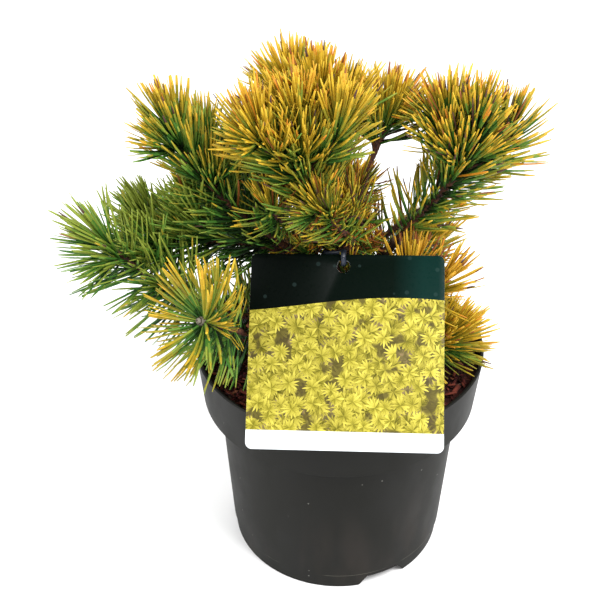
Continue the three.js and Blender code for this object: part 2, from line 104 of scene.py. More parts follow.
class Wire:
    # One socket of a material. Arithmetic on it adds Math nodes, and node() adds any other.
    def __init__(self, tree, socket):
        self.tree = tree
        self.socket = socket

    def node(self, kind, settings, sockets, out=0):
        made = self.tree.nodes.new("ShaderNode" + kind)
        for key, value in settings.items():
            if key == "stops":
                self.setStops(made.color_ramp, value)
            else:
                setattr(made, key, value)
        for key, value in sockets.items():
            if isinstance(value, Wire):
                self.tree.links.new(value.socket, made.inputs[key])
            else:
                made.inputs[key].default_value = value
        return Wire(self.tree, made.outputs[out])

    def setStops(self, ramp, stops):
        for at, colour in stops[2:]:
            ramp.elements.new(at)
        for element, (at, colour) in zip(ramp.elements, sorted(stops, key=lambda stop: stop[0])):
            element.position = at
            element.color = colour

    def maths(self, operation, *values):
        return self.node("Math", {"operation": operation}, dict(enumerate(values)))

    def __add__(self, other):
        return self.maths("ADD", self, other)

    def __sub__(self, other):
        return self.maths("SUBTRACT", self, other)

    def __rsub__(self, other):
        return self.maths("SUBTRACT", other, self)

    def __mul__(self, other):
        return self.maths("MULTIPLY", self, other)

    def __truediv__(self, other):
        return self.maths("DIVIDE", self, other)

    def __gt__(self, other):
        return self.maths("GREATER_THAN", self, other)

    def __lt__(self, other):
        return self.maths("LESS_THAN", self, other)

    __radd__ = __add__
    __rmul__ = __mul__

    def whole(self):
        return self.maths("FLOOR", self)

    def size(self):
        return self.maths("ABSOLUTE", self)

    def sine(self):
        return self.maths("SINE", self)

    def axis(self, letter):
        return self.node("SeparateXYZ", {}, {0: self}, out="XYZ".index(letter))

    def joined(self, y, z):
        return self.node("CombineXYZ", {}, {0: self, 1: y, 2: z})

    def stretched(self, scale, shift=(0, 0, 0)):
        return self.node("Mapping", {}, {"Vector": self, "Scale": scale, "Location": shift})

    def noise(self, scale, detail=2.0, roughness=0.5):
        sockets = {"Vector": self, "Scale": scale, "Detail": detail, "Roughness": roughness}
        return self.node("TexNoise", {}, sockets)

    def cells(self, scale, out="Distance"):
        return self.node("TexVoronoi", {}, {"Vector": self, "Scale": scale}, out=out)

    def chance(self):
        return self.node("TexWhiteNoise", {}, {"Vector": self})

    def ramp(self, *stops):
        return self.node("ValToRGB", {"stops": stops}, {0: self})

    def between(self, low, high, start=0.0, end=1.0):
        return self.node("MapRange", {"interpolation_type": "SMOOTHSTEP"}, {
            "Value": self, "From Min": low, "From Max": high, "To Min": start, "To Max": end,
        })

    def mix(self, plain, other):
        # this socket is the share of the other colour
        return self.node("Mix", {"data_type": "RGBA"}, {0: self, 6: plain, 7: other}, out=2)


def newFinish(name, uniform):
    finish = bpy.data.materials.new(name)
    finish.use_nodes = True
    shader = finish.node_tree.nodes["Principled BSDF"]
    for socket, value in uniform.items():
        shader.inputs[socket].default_value = value
    return finish, shader


def startFinish(name, uniform):
    # a finish with a pattern, still to be fed, and the place that the pattern is read at
    finish, shader = newFinish(name, uniform)
    tree = finish.node_tree
    place = Wire(tree, tree.nodes.new("ShaderNodeTexCoord").outputs["Object"])
    return finish, shader, place


def feed(shader, **wires):
    for name, wire in wires.items():
        socket = {"colour": "Base Color", "roughness": "Roughness", "normal": "Normal"}[name]
        wire.tree.links.new(wire.socket, shader.inputs[socket])


def bump(height, strength, distance):
    sockets = {"Height": height, "Strength": strength, "Distance": distance}
    return height.node("Bump", {}, sockets)


def plainFinish(name, colour, roughness, gloss):
    uniform = {"Base Color": colour, "Roughness": roughness, "Specular IOR Level": gloss}
    return newFinish(name, uniform)[0]


def tonedFinishes(prefix, tones, roughness, gloss):
    return [plainFinish(prefix + name, tint(*colour), roughness, gloss) for name, colour in tones]


# modelling helpers

def deselectAll():
    bpy.ops.object.select_all(action="DESELECT")


def pickOnly(piece):
    deselectAll()
    piece.select_set(True)
    bpy.context.view_layer.objects.active = piece


def applyModifier(piece, kind, **settings):
    modifier = piece.modifiers.new(kind.lower(), kind)
    for key, value in settings.items():
        setattr(modifier, key, value)
    pickOnly(piece)
    bpy.ops.object.modifier_apply(modifier=modifier.name)


def cutWith(piece, cutter):
    applyModifier(piece, "BOOLEAN", operation="DIFFERENCE", solver="EXACT", object=cutter)
    bpy.data.objects.remove(cutter)


def editAll(piece):
    pickOnly(piece)
    bpy.ops.object.mode_set(mode="EDIT")
    bpy.ops.mesh.select_all(action="SELECT")


def leaveShell():
    # turns every face outwards on the way back to object mode
    bpy.ops.mesh.select_all(action="SELECT")
    bpy.ops.mesh.normals_make_consistent(inside=False)
    bpy.ops.object.mode_set(mode="OBJECT")


def weld(piece, sliver):
    # takes out the slivers that cutting leaves
    editAll(piece)
    bpy.ops.mesh.dissolve_degenerate(threshold=sliver * mm)
    bpy.ops.object.mode_set(mode="OBJECT")


def smoothByAngle(piece, degrees):
    pickOnly(piece)
    bpy.ops.object.shade_smooth_by_angle(angle=math.radians(degrees))


def unit(vectors):
    return vectors / np.linalg.norm(vectors, axis=-1, keepdims=True)


def drawnOut(name, outline, sides):
    # a disc at the outline's first point, extruded and resized from point to point, its last
    # face left as the cap that closes the shell
    deselectAll()
    radius, height = outline[0]
    bpy.ops.mesh.primitive_circle_add(
        vertices=sides, radius=radius * mm, location=(0, 0, height * mm), fill_type="NGON"
    )
    piece = bpy.context.object
    piece.name = name
    bpy.ops.object.transform_apply(location=True)
    bpy.ops.object.mode_set(mode="EDIT")
    bpy.ops.mesh.select_mode(type="FACE")
    bpy.ops.mesh.select_all(action="SELECT")
    for (r0, z0), (r1, z1) in zip(outline, outline[1:]):
        bpy.ops.mesh.extrude_region_move(TRANSFORM_OT_translate={"value": (0, 0, (z1 - z0) * mm)})
        bpy.ops.transform.resize(value=(r1 / r0, r1 / r0, 1), center_override=(0, 0, z1 * mm))
    bpy.ops.mesh.poke()
    leaveShell()
    return piece


class Path:
    # A curve as a run of close points, read by the share of its length.
    def __init__(self, points):
        self.points = np.asarray(points, float)
        steps = np.linalg.norm(np.diff(self.points, axis=0), axis=1)
        self.shares = np.concatenate([[0], np.cumsum(steps)])
        self.length = self.shares[-1]
        self.shares = self.shares / self.length

    def at(self, share):
        columns = [np.interp(share, self.shares, self.points[:, k]) for k in range(3)]
        return np.stack(columns, axis=-1)

    def along(self, share):
        # the direction at each share, over a short step to both sides
        step = 0.004
        low = np.clip(np.asarray(share) - step, 0, 1 - 2 * step)
        return unit(self.at(low + 2 * step) - self.at(low))


curveSteps = np.linspace(0, 1, 61)[:, None]
threadSteps = np.linspace(0, 1, 25)[:, None]


def bent(start, handle, end):
    t = curveSteps
    return Path((1 - t) ** 2 * start + 2 * t * (1 - t) * handle + t**2 * end)


def threaded(points, closed=False):
    # the centripetal Catmull-Rom curve through some points
    points = [np.asarray(p, float) for p in points]
    last = len(points)
    spans = last if closed else last - 1
    run = []
    for k in range(spans):
        p1 = points[k]
        p2 = points[(k + 1) % last]
        p0 = points[k - 1] if closed or k > 0 else 2 * p1 - p2
        p3 = points[(k + 2) % last] if closed or k + 2 < last else 2 * p2 - p1
        d0, d1, d2 = (np.linalg.norm(b - a) ** 0.5 for a, b in ((p0, p1), (p1, p2), (p2, p3)))
        m1 = ((p1 - p0) / d0 - (p2 - p0) / (d0 + d1) + (p2 - p1) / d1) * d1
        m2 = ((p2 - p1) / d1 - (p3 - p1) / (d1 + d2) + (p3 - p2) / d2) * d1
        t = threadSteps if k == spans - 1 else threadSteps[:-1]
        run.append(
            p1 + m1 * t + (3 * (p2 - p1) - 2 * m1 - m2) * t**2 + (2 * (p1 - p2) + m1 + m2) * t**3
        )
    return Path(np.concatenate(run))


class Gather:
    # Many small parts that become one mesh. Each face knows which finish it is dealt.
    def __init__(self):
        self.points = []
        self.faces = []
        self.dealt = []
        self.count = 0

    def add(self, points, faces, dealt):
        self.points.append(points)
        for corners, finish in zip(faces, dealt):
            self.faces.append(corners + self.count)
            self.dealt.append(np.broadcast_to(finish, len(corners)))
        self.count += len(points)

    def piece(self, name, finishes, smooth=True):
        points = np.concatenate(self.points) * mm
        sizes = np.concatenate([np.full(len(f), f.shape[1]) for f in self.faces])
        mesh = bpy.data.meshes.new(name)
        mesh.vertices.add(len(points))
        mesh.vertices.foreach_set("co", points.astype(np.float32).ravel())
        mesh.loops.add(int(sizes.sum()))
        corners = np.concatenate([f.ravel() for f in self.faces])
        mesh.loops.foreach_set("vertex_index", corners.astype(np.int32))
        mesh.polygons.add(len(sizes))
        starts = np.concatenate([[0], np.cumsum(sizes)[:-1]])
        mesh.polygons.foreach_set("loop_start", starts.astype(np.int32))
        for finish in finishes:
            mesh.materials.append(finish)
        mesh.polygons.foreach_set("material_index", np.concatenate(self.dealt).astype(np.int32))
        mesh.update(calc_edges=True)
        if smooth:
            mesh.shade_smooth()
        piece = bpy.data.objects.new(name, mesh)
        bpy.context.scene.collection.objects.link(piece)
        return piece


def stacked(runs):
    return [np.concatenate(parts) for parts in zip(*runs)]


def crossways(axis):
    # a level direction across each axis, and the one across both
    side = unit(np.cross((0, 0, 1), axis))
    return side, np.cross(axis, side)


def framesAlong(path, shares):
    # two directions across the path at each share, that twist as little as they can
    axes = path.along(shares)
    sides = np.empty_like(axes)
    side = np.cross(axes[0], (0.31, 0.17, 0.94))
    for k, axis in enumerate(axes):
        side = side - axis * np.dot(side, axis)
        side = side / np.linalg.norm(side)
        sides[k] = side
    return sides, np.cross(axes, sides)


def tubeQuads(rows, columns):
    j = np.arange(columns)
    k = (j + 1) % columns
    base = np.arange(rows - 1)[:, None] * columns
    quads = np.stack([base + j, base + k, base + columns + k, base + columns + j], axis=-1)
    return quads.reshape(-1, 4)


def tubeParts(path, shares, radii):
    # a closed tube; radii has a row for each share and a column for each side
    rows, columns = radii.shape
    angles = np.linspace(0, 2 * np.pi, columns, endpoint=False)
    sides, across = framesAlong(path, shares)
    cos = np.cos(angles)[None, :, None]
    sin = np.sin(angles)[None, :, None]
    outward = cos * sides[:, None] + sin * across[:, None]
    rings = path.at(shares)[:, None] + radii[..., None] * outward
    j = np.arange(columns)
    k = (j + 1) % columns
    points = np.concatenate([rings.reshape(-1, 3), path.at(shares[[0, -1]])])
    foot = rows * columns
    lastRing = (rows - 1) * columns
    caps = np.concatenate([
        np.stack([k, j, np.full(columns, foot)], axis=-1),
        np.stack([lastRing + j, lastRing + k, np.full(columns, foot + 1)], axis=-1),
    ])
    return points, [tubeQuads(rows, columns), caps]


print("helpers ready")


# the tree's skeleton, in millimetres, grown by the rule that the solids grew by

clearance = 0.3
soilLevel = 150

# seeds of the random draws: the first of each kind, and the step from one piece to the next
seeds = {"branch": (101, 37), "chips": (411, 0), "mass": (7001, 13), "heart": (90210, 0)}

trunk = {
    "line": [
        (70, 6.6, soilLevel - 12), (76, 6, 168), (99, 5, 190), (162, 6.3, 228), (140, 9.2, 262),
    ],
    "girths": (8.4, 7.6, 6.8, 5.6, 4.2),
    "flare": 4,
    "flareHeight": 9,
}

limb = {"swing": 0.55, "early": 0.3, "endRadius": 3.1}

twig = {
    "rootRadius": 2.1,
    "tipRadius": 1.5,
    "lead": 0.35,            # share of its reach that a shoot keeps the direction it starts in
    "turn": 0.35,            # share of it over which the shoot's end has turned to the light
    "forkStep": 0.08,
    "forkJitter": 0.04,
    "sideSwell": 0.3,        # by which a side shoot's foot is thicker than its end
}

# how a branch grows, unless it has a habit of its own
plainHabit = {
    "rise": 0.5,             # how far a shoot's end turns, from straight on to straight up
    "open": (56, 28),        # degrees that needles stand off a shoot, at its foot and its head
    "scale": 1,              # of the needles' length
    "bare": 6,               # length of a shoot's foot that bears none
    "thin": 1,               # spacing of the needles, as a share of the usual
    "gather": 1,             # below one where the needles thin out towards the foot
    "lift": 0.16,            # of the needles, towards the light, or below nought, away from it
    "crest": 18,             # pairs of needles round the bud at a shoot's end
    "crestOpen": (30, 6),    # degrees that those stand off it, behind the bud and before it
    "boughLeaf": 0.62,       # scale of the old needles on the bough
}
habits = {
    "left_low": {"rise": 0.3, "open": (82, 44), "scale": 1.08, "thin": 1.5, "lift": -0.17},
    "front_left": {
        "rise": 0, "open": (100, 70), "scale": 1.12, "bare": 12, "thin": 1.2, "gather": 0.67,
        "lift": 0.18, "crest": 30, "crestOpen": (88, 50),
    },
    "left_mid": {"thin": 1.3},
    "left_top": {"open": (64, 28), "lift": 0.26},
    "right_up": {"rise": 0.8, "open": (56, 22), "gather": 0.95, "lift": 0.06, "boughLeaf": 1},
    "right_low": {"thin": 1.4},
    "top": {"rise": 0.6, "lift": 0.26},
    "centre": {"rise": 0.85, "open": (60, 28)},
    "inner_front": {"open": (72, 44), "scale": 0.78},
    "inner_right": {"open": (72, 44), "scale": 0.78},
    "inner_left": {"open": (80, 56), "scale": 0.78},
    "back_right": {"open": (70, 36), "bare": 34},
    "side_right": {"bare": 48},
}
sideOpen = 0.72              # a side shoot's foot opens less, next to the stem

# each branch: where it leaves the trunk, its bough's tip, its girth, where it forks, its
# leaf colours and its buds; a place is a turn about the pot's axis, a reach and a height
branches = [
    ("left_low", 178, (195, 46, 184), 3.9, 0.35, "green", [(191, 142, 246), (181, 117, 235)]),
    ("front_left", 168, (208, 44, 177), 3.6, 0.4, "lime", [(224, 111, 226)]),
    ("left_mid", 206, (176, 36, 222), 3.4, 0.4, "green", [(176, 117, 242), (183, 89, 254)]),
    ("left_top", 214, (183, 34, 230), 3.7, 0.5, "tipped", [(186, 97, 310), (171, 85, 291)]),
    ("right_up", 198, (0, 34, 234), 3.9, 0.5, "dusk",
     [(351, 75, 311), (0, 61, 311), (359, 93, 302)]),
    ("right_low", 187, (346, 28, 194), 3.2, 0.3, "amber", [(343, 61, 211), (342, 44, 216)]),
    ("right_rim", 164, (343, 30, 164), 3.2, 0.4, "gold", [(340, 70, 175)]),
    ("centre", 238, (222, 18, 254), 3.6, 0.4, "gold",
     [(212, 30, 318), (209, 53, 315), (260, 24, 318)]),
    ("inner_front", 226, (290, 14, 238), 2.9, 0.4, "olive", [(244, 29, 271)]),
    ("inner_right", 240, (330, 12, 247), 2.9, 0.4, "olive", [(296, 13, 262)]),
    ("inner_left", 234, (196, 28, 246), 2.9, 0.4, "olive", [(205, 47, 267)]),
    ("back_right", 252, (50, 14, 268), 3.1, 0.5, "gold", [(45, 38, 303), (66, 38, 297)]),
    ("top", 262, None, 3.1, 0.45, "gold", [(164, 15, 326), (150, 34, 324), (94, 14, 313)]),
    ("back_high", 246, (108, 26, 262), 3.1, 0.45, "gold", [(107, 60, 298), (90, 62, 288)]),
    ("back_left_high", 232, (142, 34, 248), 3.3, 0.45, "gold", [(137, 76, 278), (150, 83, 267)]),
    ("back_left", 196, (144, 40, 206), 3.5, 0.4, "green", [(145, 107, 235), (130, 98, 230)]),
    ("back", 212, (96, 38, 223), 3.5, 0.4, "gold", [(98, 101, 257), (112, 92, 253)]),
    ("back_low_left", 172, (122, 42, 181), 3.4, 0.4, "green", [(122, 108, 210)]),
    ("back_low", 184, (86, 38, 192), 3.4, 0.4, "gold", [(88, 99, 215)]),
    ("back_low_right", 174, (52, 34, 181), 3.2, 0.4, "gold", [(45, 84, 195)]),
    ("side_right", 214, (34, 34, 226), 3.2, 0.4, "gold", [(33, 104, 266)]),
]


def place(turn, reach, height):
    angle = math.radians(turn)
    return np.array([reach * math.cos(angle), reach * math.sin(angle), height])


def seedFor(kind, index=0):
    first, step = seeds[kind]
    return first + step * index


def randomFrom(seed):
    factor, modulus = 16807, 2147483647
    state = seed
    while True:
        state = (state * factor) % modulus
        yield state / modulus


trunkPath = threaded([place(*p) for p in trunk["line"]])


def trunkRadius(share):
    girths = np.interp(share, np.linspace(0, 1, len(trunk["girths"])), trunk["girths"])
    above = trunkPath.at(share)[..., 2] - soilLevel
    return girths + trunk["flare"] * np.exp(-above / trunk["flareHeight"])


def trunkShare(height):
    return np.interp(height, trunkPath.points[:, 2], trunkPath.shares)


def shootPath(foot, heading, head, rise):
    # starts along its heading and ends turned up towards the light
    line = head - foot
    reach = np.linalg.norm(line)
    last = unit(line / reach * (1 - rise) + (0, 0, rise))
    near = foot + twig["lead"] * reach * heading
    far = head - twig["turn"] * reach * last
    t = curveSteps
    return Path(
        (1 - t) ** 3 * foot + 3 * t * (1 - t) ** 2 * near + 3 * t**2 * (1 - t) * far + t**3 * head
    )


def growBranch(index, branch):
    name, start, tip, girth, fork, hue, buds = branch
    draw = randomFrom(seedFor("branch", index))
    habit = {**plainHabit, **habits.get(name, {})}
    rise = habit["rise"]
    bough = None
    parent = trunkPath
    if tip:
        root = trunkPath.at(trunkShare(start))
        end = place(*tip)
        bend = root + (end - root) * (limb["swing"], limb["swing"], limb["early"])
        bough = parent = bent(root, bend, end)
    heading = parent.along(1.0)
    stem = shootPath(parent.at(1.0) + clearance * heading, heading, place(*buds[0]), rise)
    twigs = [stem]
    for k, bud in enumerate(buds[1:]):
        share = fork + twig["forkStep"] * k + twig["forkJitter"] * next(draw)
        root = stem.at(share)
        head = place(*bud)
        heading = unit(stem.along(share) + unit(head - root))
        twigs.append(shootPath(root, heading, head, rise))
    return {
        "name": name, "bough": bough, "girth": girth, "hue": hue, "twigs": twigs, "habit": habit,
    }


def boughRadius(item):
    return lambda share: item["girth"] + (limb["endRadius"] - item["girth"]) * share


crown = [growBranch(index, branch) for index, branch in enumerate(branches)]

# the card's place: it leans back on the front of the rim
card = {
    "width": 116.2, "height": 117.2, "thickness": 0.8, "corner": 4,
    "holeRadius": 4, "holeDrop": 7.4, "holeShift": -2.4,
    "leanBack": 43.06, "turn": -4.39, "roll": -1.53, "margin": 1.5,
}
cardMiddle = sum(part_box("card"), Vector()) / 2 / mm
cardPlace = (
    Matrix.Translation(cardMiddle)
    @ Matrix.Rotation(math.radians(card["turn"]), 4, "Z")
    @ Matrix.Rotation(math.radians(-card["leanBack"]), 4, "X")
    @ Matrix.Rotation(math.radians(card["roll"]), 4, "Y")
)
cardInverse = np.array(cardPlace.inverted())


def onCard(x, y, z):
    return np.array(cardPlace @ Vector((x, y, z)))


tie = {"radius": 1.2, "height": 227, "trunkGap": 1.3}


def tieRoute():
    x = card["holeShift"]
    top = card["height"] / 2
    hole = top - card["holeDrop"]
    share = trunkShare(tie["height"])
    core = trunkPath.at(share)
    around = trunkRadius(share) + tie["radius"] + tie["trunkGap"]
    return threaded([
        onCard(x, -2.1, hole + 4.8),
        onCard(x, -1.2, hole + 2.5),
        onCard(x, 1.6, hole + 1.8),
        core + (around, -14, 0),
        core + (around, 0, 0),
        core + (0, around, 0.5),
        core + (-around, 0, 1),
        core + (-0.6 * around, -14, 5),
        onCard(x, 2.6, top + 2.1),
        onCard(x, -0.8, top + 2.1),
    ], closed=True)


tiePath = tieRoute()

print("skeleton grown:", len(crown), "branches")


# pot: a shell drawn out ring by ring, with water notches and drain holes

pot = {
    "outline": [
        (20, 0), (22, 2.5), (67.7, 2.5), (69.2, 0), (73.6, 0), (74.2, 0.6), (74.9, 12),
        (75.7, 12.5), (81.5, 118.5), (90.6, 119.5), (91.8, 120.7), (94.95, 157.2), (94.2, 158),
        (93.2, 158), (92.8, 157.6), (92.5, 154), (90.2, 122.1), (79.9, 121.1), (74.1, 13.5),
        (72.3, 4.1), (20, 4.1),
    ],
    "sides": 144,
    "edgeRound": 0.3, "sharp": 50, "smooth": 28,
    "sliver": 0.01,
    "notches": 3, "firstNotch": -65.5, "notchTop": 8.5, "halfTop": 11.75, "halfFoot": 18.4,
    "notchReach": (67, 97), "notchFoot": -1,
    "drains": 6, "drainRadius": 6, "drainRing": 46, "drainHeight": 3, "drainDepth": 12,
}


def notchCutter(turn):
    inner, outer = pot["notchReach"]
    foot = pot["notchFoot"]
    deselectAll()
    bpy.ops.mesh.primitive_cube_add(
        size=1,
        location=((inner + outer) / 2 * mm, 0, (pot["notchTop"] + foot) / 2 * mm),
        scale=((outer - inner) * mm, 2 * pot["halfFoot"] * mm, (pot["notchTop"] - foot) * mm),
    )
    cutter = bpy.context.object
    bpy.ops.object.transform_apply(location=True, scale=True)
    bpy.ops.object.mode_set(mode="EDIT")
    bpy.ops.mesh.select_mode(type="FACE")
    bpy.ops.mesh.select_all(action="DESELECT")
    shell = bmesh.from_edit_mesh(cutter.data)
    for face in shell.faces:
        face.select = face.normal.z > 0.9
    bmesh.update_edit_mesh(cutter.data)
    narrow = pot["halfTop"] / pot["halfFoot"]
    bpy.ops.transform.resize(value=(1, narrow, 1), center_override=(0, 0, 0))
    bpy.ops.object.mode_set(mode="OBJECT")
    cutter.rotation_euler.z = math.radians(turn)
    return cutter


def drainCutter(turn):
    spot = place(turn, pot["drainRing"], pot["drainHeight"]) * mm
    deselectAll()
    bpy.ops.mesh.primitive_cylinder_add(
        vertices=32, radius=pot["drainRadius"] * mm, depth=pot["drainDepth"] * mm, location=spot
    )
    return bpy.context.object


def buildPot():
    piece = drawnOut("pot_shell", pot["outline"], pot["sides"])
    for k in range(pot["notches"]):
        cutWith(piece, notchCutter(pot["firstNotch"] + 360 * k / pot["notches"]))
    for k in range(pot["drains"]):
        cutWith(piece, drainCutter(360 * (k + 0.5) / pot["drains"]))
    applyModifier(
        piece, "BEVEL", width=pot["edgeRound"] * mm, segments=2, limit_method="ANGLE",
        angle_limit=math.radians(pot["sharp"]),
    )
    weld(piece, pot["sliver"])
    smoothByAngle(piece, pot["smooth"])
    piece.data.materials.append(potFinish())
    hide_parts("pot")
    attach(piece, "root")


potLook = {
    "gloss": 0.12,
    "smear": 0.32, "smearHeights": (0.1, 0.02),      # from where it starts down to where it is full
    # the light line on the step above the foot: partly wear, partly a painted highlight
    "wornAndHighlit": 0.42, "wornAndHighlitHeights": (0.0122, 0.0129),    # the step above the foot
    "specks": 150, "speckSize": 0.075, "speckFrom": 0.88,
    "scuffs": 60, "scuffSize": 0.035,
}


def potFinish():
    # black plastic: cloudy, with warm smears low on the wall, a light line on the step above the
    # foot that is partly wear and partly a painted highlight, and specks of dust
    finish, shader, place = startFinish("potPlastic", {"Specular IOR Level": potLook["gloss"]})
    cloud = place.stretched((1, 1, 0.6)).noise(28, 4, 0.6)
    colour = cloud.ramp((0.3, tint(13, 13, 10)), (0.7, tint(19, 19, 15)))
    height = place.axis("Z")
    low = height.between(*potLook["smearHeights"])
    smear = place.stretched((1, 1, 0.25), (3, 1, 0)).noise(34, 3).between(0.5, 0.72)
    smear = smear * low * potLook["smear"]
    colour = smear.mix(colour, tint(52, 45, 40))
    # a pale line on the step above the foot, partly wear and partly a painted highlight
    bottom, top = potLook["wornAndHighlitHeights"]
    patchy = place.noise(45, 2).between(0.4, 0.56, 0, potLook["wornAndHighlit"])
    wornAndHighlit = (height > bottom) * (height < top) * patchy
    colour = wornAndHighlit.mix(colour, tint(112, 108, 98))
    chosen = place.cells(potLook["specks"], out="Color").axis("X") > potLook["speckFrom"]
    speck = (place.cells(potLook["specks"]) < potLook["speckSize"]) * chosen
    scuff = (place.stretched((1, 1, 0.3)).cells(potLook["scuffs"]) < potLook["scuffSize"]) * 0.4
    colour = (speck * 0.5 + scuff * 0.12).mix(colour, tint(140, 138, 132))
    grain = place.noise(900, 3)
    roughness = cloud.between(0.3, 0.7, 0.46, 0.58)
    feed(shader, colour=colour, roughness=roughness, normal=bump(grain, 0.12, 0.0002))
    return finish


buildPot()
print("pot made")


# soil: a body that fills the pot, under loose chips of bark

soil = {
    "flat": 16, "hollow": 1.6, "hollowLength": 14, "ringStep": 3,
    "foot": [(20, 4.4), (71, 4.4), (73.5, 14.5), (79.3, 121.4), (89.2, 122.7), (91.4, 147)],
    "outer": 88,
    "sides": 96,
    "sunk": 1,               # of the body's top, under the level that the chips lie at
    "lump": 2.4, "lumpSize": 0.006, "lumpsFrom": 0.1465,
    "smooth": 40,
}


def soilTop(reach):
    wave = np.cos((reach - soil["flat"]) / soil["hollowLength"])
    hollow = soil["hollow"] * (0.5 - 0.5 * wave)
    return np.where(reach < soil["flat"], soilLevel, soilLevel - hollow)


def buildSoil():
    rings = np.arange(soil["outer"], soil["ringStep"], -soil["ringStep"])
    top = [(float(r), float(soilTop(r)) - soil["sunk"]) for r in rings]
    piece = drawnOut("soil_body", soil["foot"] + top, soil["sides"])
    lumps = bpy.data.textures.new("lumps", "CLOUDS")
    lumps.noise_scale = soil["lumpSize"]
    lumps.noise_depth = 3
    upper = piece.vertex_groups.new(name="upper")
    raised = [v.index for v in piece.data.vertices if v.co.z > soil["lumpsFrom"]]
    upper.add(raised, 1.0, "REPLACE")
    applyModifier(
        piece, "DISPLACE", texture=lumps, texture_coords="LOCAL", strength=soil["lump"] * mm,
        mid_level=0.6, direction="Z", vertex_group="upper",
    )
    smoothByAngle(piece, soil["smooth"])
    piece.data.materials.append(soilFinish())
    return piece


def soilFinish():
    finish, shader, place = startFinish("soilPeat", {"Specular IOR Level": 0.2, "Roughness": 0.95})
    fibre = place.stretched((1, 2.4, 1)).noise(420, 6, 0.7)
    colour = fibre.ramp(
        (0.3, tint(24, 12, 11)), (0.48, tint(52, 24, 20)),
        (0.62, tint(86, 42, 32)), (0.78, tint(124, 78, 58)),
    )
    colour = place.noise(90, 3).between(0.4, 0.62).mix(colour, tint(40, 18, 17))
    feed(shader, colour=colour, normal=bump(fibre, 0.9, 0.0012))
    return finish


chip = {
    "count": 2300, "long": (3.5, 12), "wide": (0.9, 3.6), "thick": (0.5, 1.5),
    "small": 2.2,            # above one, most chips are small
    "trunkGap": 11, "edge": 90.6,
    "lift": (-0.4, 1.5), "tilt": 0.3, "mostTilt": 0.5,
    "ragged": 0.55,
    "odds": (0.3, 0.3, 0.2, 0.08, 0.12),
}

chipTones = [
    ("dark", (44, 20, 18)), ("maroon", (74, 30, 26)), ("brick", (104, 48, 36)),
    ("tan", (138, 84, 60)), ("grey", (84, 62, 52)),
]


def chipParts(draw):
    # eight-cornered slivers that lie nearly flat in the hollow between trunk and wall
    count = chip["count"]
    coarse = draw.random_sample(count) ** chip["small"]
    size = [np.interp(coarse, (0, 1), chip[key]) / 2 for key in ("long", "wide", "thick")]
    reach = np.sqrt(draw.uniform(chip["trunkGap"] ** 2, (chip["edge"] - 1) ** 2, count))
    reach = np.minimum(reach, chip["edge"] - size[0])
    turn = draw.uniform(0, 2 * np.pi, count)
    level = soilTop(reach) + (draw.uniform(*chip["lift"], count) + size[2])
    centre = np.stack([reach * np.cos(turn), reach * np.sin(turn), level], axis=1)
    spin = draw.uniform(0, 2 * np.pi, count)
    tilt = draw.normal(0, chip["tilt"], (count, 2))
    slope = np.clip(tilt[:, 0], -chip["mostTilt"], chip["mostTilt"])
    longAxis = unit(np.stack([np.cos(spin), np.sin(spin), slope], axis=1))
    sideAxis = unit(np.cross(np.stack([tilt[:, 1], -tilt[:, 1], np.ones(count)], axis=1), longAxis))
    upAxis = np.cross(longAxis, sideAxis)
    square = ((-1, -1), (1, -1), (1, 1), (-1, 1))
    signs = np.array([(x, y, z) for z in (-1, 1) for x, y in square], float)
    shape = signs[None] * (1 - chip["ragged"] * draw.random_sample((count, 8, 3)))
    points = centre[:, None] + sum(
        (shape[..., k] * size[k][:, None])[..., None] * axis[:, None]
        for k, axis in enumerate((longAxis, sideAxis, upAxis))
    )
    block = np.array([
        (3, 2, 1, 0), (4, 5, 6, 7), (0, 1, 5, 4), (1, 2, 6, 5), (2, 3, 7, 6), (3, 0, 4, 7),
    ])
    faces = block[None] + np.arange(count)[:, None, None] * 8
    tones = np.repeat(draw.choice(len(chipTones), count, p=chip["odds"]), len(block))
    return points.reshape(-1, 3), [faces.reshape(-1, 4)], [tones]


def buildChips():
    chips = Gather()
    chips.add(*chipParts(np.random.RandomState(seedFor("chips"))))
    return chips.piece("bark_chips", tonedFinishes("chip_", chipTones, 0.9, 0.2), smooth=False)


for piece in (buildSoil(), buildChips()):
    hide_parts("soil")
    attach(piece, "root")
print("soil and chips made")


# trunk and boughs: tubes fused by a remesh, with the bark's scales raised on them

bark = {
    "trunkSides": 28, "boughSides": 16, "step": 2, "voxel": 0.75,
    "scaleSize": 0.0042, "scaleRise": 1.1, "grainSize": 0.0012, "grainRise": 0.35, "middle": 0.4,
}


def limbParts(path, radiusAt, sides):
    rows = max(8, int(path.length / bark["step"]))
    shares = np.linspace(0, 1, rows)
    radii = np.repeat(radiusAt(shares)[:, None], sides, axis=1)
    return tubeParts(path, shares, radii)


def barkFinish():
    finish, shader, place = startFinish("pineBark", {"Specular IOR Level": 0.25})
    scales = place.stretched((1, 1, 0.55)).cells(260)
    fibre = place.stretched((1, 1, 0.3)).noise(600, 5, 0.65)
    colour = scales.ramp(
        (0.1, tint(108, 82, 66)), (0.45, tint(74, 53, 43)), (0.75, tint(36, 25, 22))
    )
    colour = fibre.between(0.45, 0.7, 0, 0.6).mix(colour, tint(66, 46, 38))
    mossy = place.noise(60, 3).between(0.55, 0.7, 0, 0.5)
    colour = mossy.mix(colour, tint(104, 96, 78))
    roughness = fibre.between(0.3, 0.7, 0.7, 0.95)
    feed(shader, colour=colour, roughness=roughness, normal=bump(fibre, 0.5, 0.0004))
    return finish


